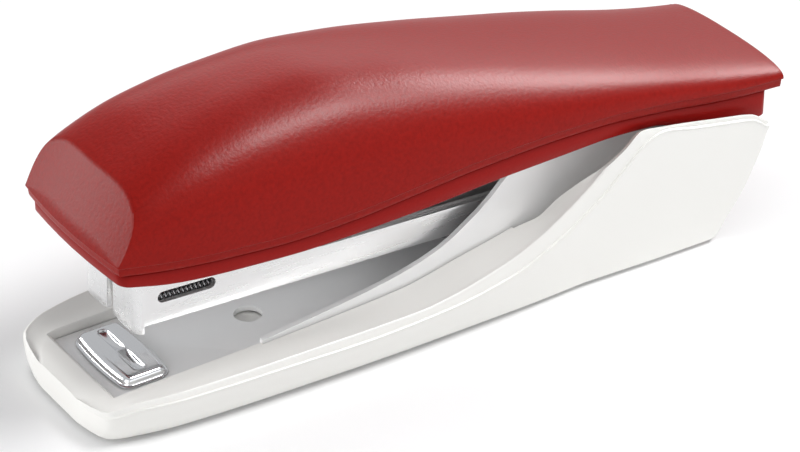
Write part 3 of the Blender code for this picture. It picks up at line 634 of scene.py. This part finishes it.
# %% The base moulding
RECESS_HALF, FLANGE_OUT, FLANGE_START = 11.9, 12.2, -38.5
POCKET_FLOOR, FLOOR_END = 2.8, 46.0
FLARE = 0.35


def trench(name, stations):
    """A cutter with flared sides. Each station is (x, half width, floor height, rim height)."""
    rows = []
    for x, half, floor, rim in stations:
        side = [(half, floor), (half, max(floor, rim - FLARE)), (half + 0.05, max(floor, rim - 0.16)),
                (half + 0.2, max(floor, rim + 0.02)), (half + 3, max(floor, rim + 1.6)),
                (half + 3, max(floor, rim) + 40)]
        ring = [(x, -y, z) for y, z in reversed(side)] + [(x, y, z) for y, z in side]
        rows.append(ring + [ring[0]])
    return skin(name, rows, close=True)


def build_base():
    stations = [-72.5, -72.35, -72.0, -71.4, -70.7, -69.8, -68.8, -67.6, -66.2, -64.5, -62.5]
    stations += spread(-60, 26, 60) + spread(26.8, 38, 22) + spread(39.5, 55, 12) + spread(55.6, 67.2, 24)
    rows = []
    for x in stations:
        half = base_section(x)
        ring = [(x, -y, z) for y, z in reversed(half)] + [(x, y, z) for y, z in half]
        rows.append(ring + [ring[0]])
    base = skin("base_moulding", rows, close=True)

    slope = [(-68.3, 7.35), (-67.9, 7.2), (-67.2, 6.4), (-66.9, 4.5)]
    front = [(x, RECESS_HALF, floor, smooth(INNER_TOP, x)) for x, floor in slope]
    front += [(x, RECESS_HALF, 4.5, smooth(INNER_TOP, x)) for x in spread(-66, FLANGE_START - 0.3, 24)]
    cut(base, trench("recess_cutter", front))
    channel = [(x, FLANGE_OUT + 0.3, 4.5, smooth(INNER_TOP, x)) for x in spread(FLANGE_START - 0.3, 70, 60)]
    cut(base, trench("channel_cutter", channel))
    rear = INNER_HALF[-1][1] - 0.02
    cut(base, block("tail_floor_cutter", (FLOOR_END, -rear, -2), (72, rear, 60)))
    pocket = [(x, smooth(INNER_HALF, x), POCKET_FLOOR, smooth(INNER_TOP, x)) for x in spread(14, 70, 60)]
    cut(base, trench("pocket_cutter", pocket))
    cut(base, block("underside_cutter", (-64, -14.5, 0), (12, 14.5, 3.0)))
    clean(base)
    return done(base, "base", "white_shell", WHITE_ABS, "base_shell", angle=28)


build_base()

# %% [markdown]
# ## The steel channel
#
# A nickel-plated sheet lies in the recess. Behind the nose its edges fold up into two flanges, low at first
# and climbing to carry the hinge pin. The folded part is modelled as one face, with the bend drawn as an arc,
# and given its thickness by Solidify. The holes are cut after that, a flat plate is joined on in front, and
# the cut edges are broken by a small bevel.

# %% The base channel
PLATE = 1.0
BEND = 1.9
FLANGE_TOP = [(-38.5, 8.4), (-16.1, 10.9), (-8, 12.4), (-1.2, 14.5), (6, 18.7), (9.5, 21.3), (12.8, 24.4),
              (16, 26.8), (20, 27.4), (48, 27.4), (51, 26.6), (53.4, 24)]
PIVOT = (47.0, 0.0, 20.5)
PIN_HOLE_R = 2.35


def build_channel():
    floor_half = FLANGE_OUT - BEND
    reach = BEND - PLATE
    rows = []
    for x in spread(FLANGE_START, 53.4, 90):
        half = [(y, PLATE_TOP) for y in spread(0, floor_half, 6)]
        for angle in spread(0, pi / 2, 8)[1:]:
            half.append((floor_half + reach * sin(angle), PLATE_TOP + reach - reach * cos(angle)))
        half += [(FLANGE_OUT - PLATE, z) for z in spread(PLATE_TOP + reach, smooth(FLANGE_TOP, x), 6)[1:]]
        rows.append([(x, -y, z) for y, z in reversed(half)] + [(x, y, z) for y, z in half[1:]])
    channel = skin("base_channel_sheet", rows)
    aim(channel, (0, 0, 1))
    apply_modifier(channel, "SOLIDIFY", thickness=PLATE * MM, offset=-1, use_even_offset=True)
    plate_hole = [(0, 0), (2.6, 0), (2.6, 9), (0, 9)]
    cut(channel, turned("plate_hole_cutter", plate_hole, (-34.2, 0, 0), "Z", 64))
    pin_hole = [(0, -20), (PIN_HOLE_R, -20), (PIN_HOLE_R, 20), (0, 20)]
    cut(channel, turned("pin_hole_cutter", pin_hole, PIVOT, "Y", 64))
    low = (-66.9, -RECESS_HALF + 0.3, PLATE_TOP - PLATE)
    high = (FLANGE_START + 0.6, RECESS_HALF - 0.3, PLATE_TOP)
    cut(channel, block("plate_front", low, high), "UNION")
    round_edges(channel, 0.14, 2, 50)
    return done(channel, "base", "bright_steel", PLATE_NICKEL, "base_channel", angle=30)


build_channel()

# %% [markdown]
# ## The anvil
#
# The anvil is stamped from hard sheet and plated with chrome. Its front and back edges bow outwards, all four
# edges roll down to a narrow rim that lies on the plate, and a slot holds two scooped grooves that turn the
# staple's legs in. A stamping like this is a height for every place in plan, so it is one fine grid: the
# height is found from the distance to the nearest edge, and the slot is pressed in with its own distance.

# %% The anvil
ANVIL_X = (-64.4, -55.3)
ANVIL_HALF = 9.5
ANVIL_RIM = 0.55
ANVIL_ROLL = 1.35
ANVIL_TOP = 7.75
ANVIL_FOOT = PLATE_TOP + 0.34
ANVIL_BOW, ANVIL_CORNER = 0.75, 1.9
SLOT_X, SLOT_HALF_Y, SLOT_HALF_X = -59.9, 7.2, 1.05


def anvil_height(x, y, edge):
    """Height at a place, where edge is its distance from the anvil's outline."""
    if edge < ANVIL_RIM:
        z = ANVIL_FOOT + 0.12 * sin(pi / 2 * min(1, edge / 0.2))
    else:
        t = min(1, (edge - ANVIL_RIM) / ANVIL_ROLL)
        z = ANVIL_FOOT + 0.12 + (ANVIL_TOP - ANVIL_FOOT - 0.12) * sqrt(1 - (1 - t) ** 2)
    corner = SLOT_HALF_X * 0.85
    dx = abs(x - SLOT_X) - (SLOT_HALF_X - corner)
    dy = abs(y) - (SLOT_HALF_Y - corner)
    gap = hypot(max(dx, 0), max(dy, 0)) + min(max(dx, dy), 0) - corner
    if gap < 0.35:
        raised = 0.07 * max(0, 1 - abs(gap - 0.12) / 0.24)
        depth = 0.35 + 0.55 * max(0.0, 1 - ((abs(y) - 3.7) / 3.2) ** 2)
        depth -= 0.25 * max(0.0, 1 - abs(y) / 0.45)
        depth *= 1 - 0.45 * min(1, abs(x - SLOT_X) / SLOT_HALF_X) ** 2
        press = min(1, max(0, -gap / 0.22))
        z += raised - depth * press * press * (3 - 2 * press)
    return z


def build_anvil():
    across, along = 180, 96
    rows = []
    for i in range(along + 1):
        s = i / along
        row = []
        for k in range(across + 1):
            y = ANVIL_HALF * (2 * k / across - 1)
            bow = 1 - (y / ANVIL_HALF) ** 2
            low, high = ANVIL_X[0] - ANVIL_BOW * bow, ANVIL_X[1] + ANVIL_BOW * bow
            x = low + (high - low) * s
            dx, dy = min(x - low, high - x), ANVIL_HALF - abs(y)
            if dx < ANVIL_CORNER and dy < ANVIL_CORNER:
                edge = ANVIL_CORNER - hypot(ANVIL_CORNER - dx, ANVIL_CORNER - dy)
            else:
                edge = min(dx, dy)
            row.append((x, y, anvil_height(x, y, edge) if edge > 0 else ANVIL_FOOT, edge))
        rows.append(row)
    for row in rows:  # pull what lies past a rounded corner back to it
        for k, (x, y, z, edge) in enumerate(row):
            if edge < 0:
                centre_x = ANVIL_X[0] + ANVIL_CORNER if x < SLOT_X else ANVIL_X[1] - ANVIL_CORNER
                centre_y = (ANVIL_HALF - ANVIL_CORNER) * (1 if y > 0 else -1)
                away = Vector((x - centre_x, y - centre_y))
                away = away.normalized() * (away.length + edge)
                x, y = centre_x + away.x, centre_y + away.y
            row[k] = (x, y, z)
    anvil = skin("anvil_stamping", rows)
    aim(anvil, (0, 0, 1))
    apply_modifier(anvil, "SMOOTH", factor=0.5, iterations=4)
    apply_modifier(anvil, "SOLIDIFY", thickness=0.04 * MM, offset=-1)
    return done(anvil, "base", "anvil_chrome", CHROME, "anvil", angle=60)


build_anvil()

# %% [markdown]
# ## Working along the magazine
#
# At rest the magazine is tilted a few degrees about the hinge pin, so its parts are drawn flat and level,
# measured from the pin: u along the magazine, y across, v up. One function turns a finished mesh into place.
# It changes the mesh and leaves the object at the origin.

# %% The magazine's own frame
REST_TILT = 2.84
TO_PLACE = (Matrix.Translation(Vector(PIVOT) * MM) @ Matrix.Rotation(radians(REST_TILT), 4, "Y"))


def set_in_place(piece):
    piece.data.transform(TO_PLACE)
    piece.data.update()
    return piece


# %% [markdown]
# ## The magazine
#
# The magazine is one bent sheet: a floor, two walls, and at the nose two flaps that nearly meet, with soft
# rolled corners. The flaps reach lower than the walls, so they land on the paper first. Each wall carries a
# slot near the nose that shows the pusher spring. The wall's upper edge is folded inwards, which leaves
# two bright lines with a dark groove between them.

# %% The magazine's walls
MAG_NOSE, MAG_HALF, MAG_BOTTOM, MAG_TOP = -108.24, 9.16, -8.4, -2.85
NOSE_BOTTOM, NOSE_DEPTH = -9.88, 1.6
SHEET = 0.9
ROLL_U, ROLL_Y = 1.15, 2.6  # the corner's roll, along and across
SLOT_U, SLOT_V, SLOT_LENGTH, SLOT_R = -98.4, -3.58, 11.4, 1.1
WALL_TOP = [(-96, 2.0), (-93, 1.75), (-80, 0.6), (-78, 0.2), (-72.5, -2.6), (-71, -2.85), (-9, -2.85)]
EAR_R = 4.7


def wall_heights(u):
    """Bottom and top of the wall at u, where the ear is round about the pin."""
    bottom = NOSE_BOTTOM if u < MAG_NOSE + NOSE_DEPTH else MAG_BOTTOM
    top = smooth(WALL_TOP, u)
    if u > -9:
        ear_top = sqrt(max(0.0, EAR_R ** 2 - max(0, u) ** 2)) if u > -4 else None
        if ear_top is None:
            t = (u + 9) / 5
            top = MAG_TOP + (EAR_R - MAG_TOP) * t * t * (3 - 2 * t)
        else:
            top = ear_top if u > 0 else EAR_R
    if u > 0:
        bottom = max(MAG_BOTTOM, -sqrt(max(0.0, EAR_R ** 2 - u * u)) - 3.7 * (1 - u / EAR_R))
    return bottom, top


def build_walls():
    halves = []
    for sign, side in ((-1, "right"), (1, "left")):
        path = [(MAG_NOSE, y) for y in (1.05, 1.3, 1.8, 2.6, 3.6, 4.6, 5.6)]
        for angle in spread(0, pi / 2, 12):
            path.append((MAG_NOSE + ROLL_U * (1 - cos(angle)), MAG_HALF - ROLL_Y + ROLL_Y * sin(angle)))
        step = MAG_NOSE + NOSE_DEPTH
        path += [(step - 0.01, MAG_HALF), (step + 0.01, MAG_HALF)]
        along = spread(step + 1.5, -81, 14) + spread(-80, -70, 12) + spread(-68, -10, 20)
        path += [(u, MAG_HALF) for u in along]
        path += [(u, MAG_HALF) for u in spread(-9, -4, 6) + spread(-3, 4.4, 14)]
        rows = []
        for u, y in path:
            bottom, top = wall_heights(u)
            if y < 2.6 and u < MAG_NOSE + 0.01:  # the flap's inner corner is clipped
                bottom += 0.45 * (2.6 - y) / 1.6
            rows.append([(u, sign * y, v) for v in spread(bottom, top, 9)])
        half = skin(f"magazine_wall_{side}", rows)
        aim(half, (0, sign, 0))
        apply_modifier(half, "SOLIDIFY", thickness=SHEET * MM, offset=-1, use_even_offset=True)
        slot = rounded([(SLOT_U - SLOT_LENGTH / 2, SLOT_V - SLOT_R, SLOT_R * 0.999),
                        (SLOT_U + SLOT_LENGTH / 2, SLOT_V - SLOT_R, SLOT_R * 0.999),
                        (SLOT_U + SLOT_LENGTH / 2, SLOT_V + SLOT_R, SLOT_R * 0.999),
                        (SLOT_U - SLOT_LENGTH / 2, SLOT_V + SLOT_R, SLOT_R * 0.999)], 10)
        low, high = sorted((sign * 6, sign * 12))
        cut(half, slab("slot_cutter", slot, low, high, "Y"))
        ear_hole = [(0, low), (PIN_HOLE_R, low), (PIN_HOLE_R, high), (0, high)]
        cut(half, turned("ear_hole_cutter", ear_hole, (0, 0, 0), "Y", 48))
        round_edges(half, 0.12, 2, 50)
        halves.append(half)
    return halves


def build_magazine():
    walls = build_walls()
    floor = block("magazine_floor", (-104.8, -MAG_HALF + 0.5, MAG_BOTTOM + 0.02),
                  (-0.5, MAG_HALF - 0.5, MAG_BOTTOM + SHEET))
    round_edges(floor, 0.2, 2)
    lips = []
    for sign in (-1, 1):
        lip = [(MAG_HALF - 0.02, MAG_TOP - 0.5), (MAG_HALF - 0.05, MAG_TOP - 0.18),
               (MAG_HALF - 0.22, MAG_TOP - 0.03),
               (8.55, MAG_TOP), (8.4, MAG_TOP - 0.12), (8.3, MAG_TOP - 0.34), (7.75, MAG_TOP - 0.34),
               (7.66, MAG_TOP - 0.1), (7.5, MAG_TOP), (7.28, MAG_TOP - 0.04), (7.2, MAG_TOP - 0.2),
               (7.2, MAG_TOP - 0.65), (MAG_HALF - 0.5, MAG_TOP - 0.65), (MAG_HALF - 0.02, MAG_TOP - 0.5)]
        rows = [[(u, sign * y, v) for y, v in lip] for u in spread(-70.8, -9, 30)]
        lips.append(skin("magazine_lip", rows, close=True))
    magazine = walls[0]
    only(magazine)
    for other in walls[1:] + [floor] + lips:
        other.select_set(True)
    bpy.ops.object.join()
    magazine.name = magazine.data.name = "magazine_sheet"
    return done(set_in_place(magazine), "magazine", "bright_steel", NICKEL, "magazine_channel", angle=35)


build_magazine()

# %% [markdown]
# ## The pusher springs
#
# Two long coils lie between the rail and the walls and pull nothing: they push the pusher towards the nose. A
# coil is a point going round and along at once, so its path is computed and the wire comes from a curve's
# bevel. As the pusher is drawn back the real coil closes up; the coil drawn here keeps its length.

# %% Coil springs
RAIL_FRONT, RAIL_BACK = -105.0, -22.2
SPRING_Y, SPRING_V, SPRING_R, WIRE_R, SPRING_PITCH = 6.88, -4.9, 0.88, 0.19, 0.85
COIL_START, COIL_END = RAIL_FRONT + 0.1 + 0.8 + WIRE_R + 0.15, RAIL_BACK + 0.3 - WIRE_R - 0.15


def wire(name, points, radius, sides=2):
    """A round wire along points, from a curve that is made a mesh."""
    curve = bpy.data.curves.new(name, "CURVE")
    curve.dimensions = "3D"
    curve.bevel_depth, curve.bevel_resolution, curve.use_fill_caps = radius * MM, sides, True
    spline = curve.splines.new("POLY")
    spline.points.add(len(points) - 1)
    for point, place in zip(spline.points, points):
        point.co = (*(c * MM for c in place), 1)
    piece = bpy.data.objects.new(name, curve)
    bpy.context.scene.collection.objects.link(piece)
    only(piece)
    bpy.ops.object.convert(target="MESH")
    clean(piece)
    return piece


coils = round((COIL_END - COIL_START) / SPRING_PITCH)
for side, sign in (("right", -1), ("left", 1)):
    steps = 12 * coils
    line = []
    for k in range(steps + 1):
        angle = 2 * pi * k / 12
        line.append((COIL_START + (COIL_END - COIL_START) * k / steps, sign * SPRING_Y + SPRING_R * cos(angle),
                     SPRING_V + SPRING_R * sin(angle)))
    spring = set_in_place(wire(f"pusher_coil_{side}", line, WIRE_R, 1))
    done(spring, "magazine", "spring_steel", SPRING, f"pusher_spring_{side}", angle=80)
    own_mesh(spring)

# %% [markdown]
# ## Plain sheet and moulded parts
#
# The rail, the pusher, the press arm, the driver blade, the nylon block and the bottom cover have their shape
# in the CAD model, but with knife edges. Such a node is loose triangles, so a copy is merged, its flat faces
# are joined, and its edges are rounded.


# %% Refined copies
def refined(name, node, width, segments=2, angle=32):
    source = frame["nodes"][node]
    piece = bpy.data.objects.new(name, source.data.copy())
    bpy.context.scene.collection.objects.link(piece)
    edit(piece, (bpy.ops.mesh.remove_doubles, {"threshold": 0.002 * MM}),
         (bpy.ops.mesh.dissolve_limited, {"angle_limit": radians(1.0)}))
    round_edges(piece, width, segments, angle)
    return piece


for name, node, width, body, slot, look in (
        ("staple_rail_sheet", "staple_rail", 0.22, "magazine", "bright_steel", NICKEL),
        ("pusher_plate", "pusher", 0.12, "pusher", "pusher_steel", HARD_STEEL),
        ("press_arm_sheet", "press_arm", 0.2, "cap", "bright_steel", PLATE_NICKEL),
        ("driver_blade_strip", "driver_blade", 0.08, "cap", "spring_steel", HARD_STEEL),
        ("rear_block_moulding", "rear_block", 0.35, "magazine", "black_nylon", NYLON),
        ("bottom_cover_moulding", "bottom_cover", 0.3, "base", "grey_cover", GREY_PP)):
    done(refined(name, node, width), body, slot, look, node)

# %% [markdown]
# ## Leaf springs
#
# One leaf lifts the magazine off the anvil and another lifts the cap off the magazine. Each is a strip of
# blued steel: the path is smoothed, and a ring of four corners is carried along it.


# %% Leaf springs
def leaf(name, keys, thickness, half_width):
    """A strip whose lower face follows a smoothed path in X and Z."""
    corners = [(x, z, 0) for x, z in keys]
    path = []
    for k in range(len(keys) - 1):
        for t in spread(0, 1, 9)[:-1]:
            p0 = Vector(corners[max(k - 1, 0)][:2])
            p1, p2 = Vector(corners[k][:2]), Vector(corners[k + 1][:2])
            p3 = Vector(corners[min(k + 2, len(keys) - 1)][:2])
            path.append(0.5 * (2 * p1 + (p2 - p0) * t + (2 * p0 - 5 * p1 + 4 * p2 - p3) * t * t
                               + (3 * p1 - p0 - 3 * p2 + p3) * t ** 3))
    path.append(Vector(keys[-1]))
    rows = []
    for k, point in enumerate(path):
        ahead = path[min(k + 1, len(path) - 1)] - path[max(k - 1, 0)]
        normal = Vector((-ahead.y, ahead.x)).normalized()
        if normal.y < 0:
            normal.negate()
        top = point + normal * thickness
        ring = [(point.x, -half_width, point.y), (point.x, half_width, point.y), (top.x, half_width, top.y),
                (top.x, -half_width, top.y)]
        rows.append(ring + [ring[0]])
    piece = skin(name, rows, close=True)
    round_edges(piece, 0.1, 2, 50)
    return piece


lift = leaf("lift_leaf", [(26, 6.1), (18, 6.1), (12, 6.9), (0, 12.6), (-5, 13.6), (-8, 13.4)], 0.5, 4.0)
done(lift, "base", "spring_steel", SPRING, "lift_spring")
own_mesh(lift)
press = leaf("cap_leaf", [(-12, 0.3), (-20, 0.3), (-26, 0.9), (-44, 5.0), (-50, 5.6), (-53, 5.4)], 0.5, 3.0)
done(set_in_place(press), "magazine", "spring_steel", SPRING, "cap_spring")

# %% [markdown]
# ## Pins, rivets, screws and feet
#
# Each of these is a profile swept round an axis. The rivets have domed heads, the screws a flat head whose
# recess is a plain dimple, and the hinge pin is chamfered and held by a clip at each end.


# %% Turned parts
def dome(radius, height, base, steps=6, up=1):
    """Profile points of a domed head, from its middle out to its rim."""
    return [(radius * sin(a), base + up * height * cos(a)) for a in spread(0, pi / 2, steps)]


pin = [(0, 14.0), (1.5, 14.0), (1.9, 13.75), (2.0, 13.5), (2.0, -13.5), (1.9, -13.75), (1.5, -14.0), (0, -14.0)]
done(turned("hinge_pin_turned", pin, PIVOT, "Y", 64), "base", "fastener_steel", ZINC, "hinge_pin")
for side, sign in (("right", -1), ("left", 1)):
    low, high = 12.5 * sign, 13.3 * sign
    ring = [(2.35, low), (3.6, low), (3.8, low + 0.15 * sign), (3.8, high - 0.15 * sign), (3.6, high),
            (2.35, high), (2.35, low)]
    done(turned(f"pin_clip_{side}_ring", ring, PIVOT, "Y", 64), "base", "fastener_steel", ZINC,
         f"pin_clip_{side}")
    for end, x, y in (("front", -56.0, 10.5), ("rear", 36.0, 13.0)):
        pad = [(0, FOOT_H), (3.9, FOOT_H), (4.0, FOOT_H - 0.1), (4.0, 0.22), (3.93, 0.07), (3.75, 0), (0, 0)]
        done(turned(f"foot_pad_{end}_{side}", pad, (x, sign * y, 0), "Z"), "base", "foot_rubber", RUBBER,
             f"foot_{end}_{side}")
for end, x in (("front", -50.0), ("rear", 2.0)):
    screw = [(0, 4.5), (1.2, 4.5), (1.4, 4.3), (1.4, 1.6), (2.9, 1.6), (3.0, 1.5), (3.0, 1.0), (2.8, 0.82),
             (1.1, 0.8), (0.8, 1.2), (0, 1.35)]
    done(turned(f"base_screw_{end}_turned", screw, (x, 0, 0), "Z"), "base", "fastener_steel", ZINC,
         f"base_screw_{end}")
anvil_rivet = [(0, 6.8), (1.2, 6.8), (1.2, 4.5), (2.1, 4.5), (2.2, 4.4), (2.2, 4.0), (2.1, 3.9), (0, 3.9)]
done(turned("anvil_rivet_turned", anvil_rivet, (-57.6, 0, 0), "Z"), "base", "fastener_steel", ZINC,
     "anvil_rivet")
leaf_rivet = dome(2.2, 0.7, 6.9) + [(1.2, 6.9), (1.2, 4.6), (0, 4.6)]
done(turned("lift_rivet_turned", leaf_rivet, (22, 0, 0), "Z"), "base", "fastener_steel", ZINC,
     "lift_spring_rivet")
for end, u in (("front", -90.0), ("rear", -34.0)):
    inside = MAG_BOTTOM + SHEET + 0.3 + 0.8 + 0.3
    outside = MAG_BOTTOM - 0.3
    rivet = dome(2.2, 0.7, inside) + [(1.2, inside), (1.2, outside), (2.2, outside), (2.05, outside - 0.35),
                                      (1.6, outside - 0.6), (0, outside - 0.6)]
    done(set_in_place(turned(f"rail_rivet_{end}_turned", rivet, (u, 0, 0), "Z")), "magazine", "fastener_steel",
         ZINC, f"rail_rivet_{end}")
for side, y in (("right", -3.5), ("left", 3.5)):
    rivet = [(0, -104.0), (0.9, -104.05), (1.35, -104.25), (1.4, -104.6), (0.9, -104.6), (0.9, -107.1),
             (1.3, -107.1), (1.2, -107.4), (0.8, -107.6), (0, -107.6)]
    done(set_in_place(turned(f"driver_rivet_{side}_turned", rivet, (0, y, 11.9), "X")), "cap", "fastener_steel",
         ZINC, f"driver_rivet_{side}")
for end, x, low in BOSSES:
    head = low - 2.4
    screw = [(0, low + 6), (1.3, low + 6), (1.4, low + 5.8), (1.4, head), (2.7, head), (2.8, head - 0.1),
             (2.8, head - 0.8), (2.4, head - 1.15), (1.0, head - 1.2), (0.8, head - 0.8), (0, head - 0.7)]
    done(turned(f"arm_screw_{end}_turned", screw, (x, 0, 0), "Z"), "cap", "fastener_steel", ZINC,
         f"arm_screw_{end}")

# %% [markdown]
# ## Floor, light and camera
#
# The stapler stands on a plain pale floor under soft studio light. One wide soft light hangs overhead, one
# stands behind the nose to give the end face its sheen, and a low fill opens the shaded flank. A bright
# surround does much of the rest: bare metal shows only what is around it. The other five lights reach only a
# few pieces. Three draw only highlights, on the cap and, two of them, on the base. Two fill the plate and
# anvil, which lie in the cap's shadow, and the base. These five are there for the picture, and no lamp
# behaves like that.

# %% Floor and lights
bpy.ops.object.select_all(action="DESELECT")
bpy.ops.mesh.primitive_plane_add(size=6, location=(0, 0, 0))
floor = bpy.context.object
floor.name = "studio_floor"
floor.data.materials.append(material("pale_paper_sweep", "#FDFDFD", 0.9))


def soft_light(name, place, target, size, power, shines_on=None, diffuse=True):
    bpy.ops.object.light_add(type="AREA", location=place)
    light = bpy.context.object
    light.name = name
    light.data.shape = "RECTANGLE"
    light.data.size, light.data.size_y = size
    light.data.energy = power
    light.rotation_euler = (Vector(target) - Vector(place)).to_track_quat("-Z", "Y").to_euler()
    light.visible_diffuse = diffuse  # without it the light only draws highlights
    if shines_on:
        light.light_linking.receiver_collection = shines_on


soft_light("overhead_soft", (0.45, -0.30, 0.85), (0, 0, 0.02), (0.5, 0.25), 6.0)
soft_light("nose_soft", (-0.60, 0.61, 0.14), (-0.06, 0, 0.04), (0.35, 0.3), 3.6)
soft_light("flank_fill", (0.1, -0.9, 0.35), (0, 0, 0.02), (0.9, 0.4), 0.8)


def pieces(name, *members):
    group = bpy.data.collections.new(name)
    for member in members:
        group.objects.link(bpy.data.objects[member])
    return group


red = pieces("red_pieces", "cap_cover_moulding", "cap_skirt_moulding")
moulded = pieces("moulded_pieces", "cap_cover_moulding", "cap_skirt_moulding", "base_moulding")
white = pieces("white_piece", "base_moulding")
plate = pieces("plate_pieces", "base_channel_sheet", "anvil_stamping")
soft_light("shoulder_shine_front", (0.32, -0.28, 0.72), (0, 0, 0.04), (0.30, 0.2), 11.0, moulded, False)
soft_light("shoulder_shine_rear", (0.62, 0.10, 0.52), (0, 0, 0.04), (0.34, 0.2), 11.0, moulded, False)
soft_light("crown_sheen", (0.42, 0.68, 0.46), (0, 0, 0.04), (0.8, 0.35), 3.2, red, False)
soft_light("recess_fill", (-0.55, -0.30, 0.22), (-0.04, 0, 0.01), (0.4, 0.3), 1.6, plate)
soft_light("front_fill", (-0.75, 0.05, 0.10), (-0.06, 0, 0.01), (0.4, 0.2), 1.0, white)

world = bpy.data.worlds.new("bright_surround")
bpy.context.scene.world = world
world.use_nodes = True
world.node_tree.nodes["Background"].inputs["Color"].default_value = linear("#F2F3F5")
world.node_tree.nodes["Background"].inputs["Strength"].default_value = 0.62
bpy.context.scene.view_settings.view_transform = "Standard"

# %% The camera
CAMERA_PLACE = (-0.27526, -0.41162, 0.31589)
AZIMUTH, ELEVATION = radians(-33.6), radians(31.5)
bpy.ops.object.camera_add(location=CAMERA_PLACE)
camera = bpy.context.object
camera.name = "portrait_camera"
toward = Vector((sin(AZIMUTH) * cos(ELEVATION), -cos(AZIMUTH) * cos(ELEVATION), sin(ELEVATION)))
camera.rotation_euler = (-toward).to_track_quat("-Z", "Y").to_euler()
camera.data.lens, camera.data.sensor_width = 144.0, 36.0
camera.data.clip_start, camera.data.clip_end = 0.01, 20.0
bpy.context.scene.camera = camera
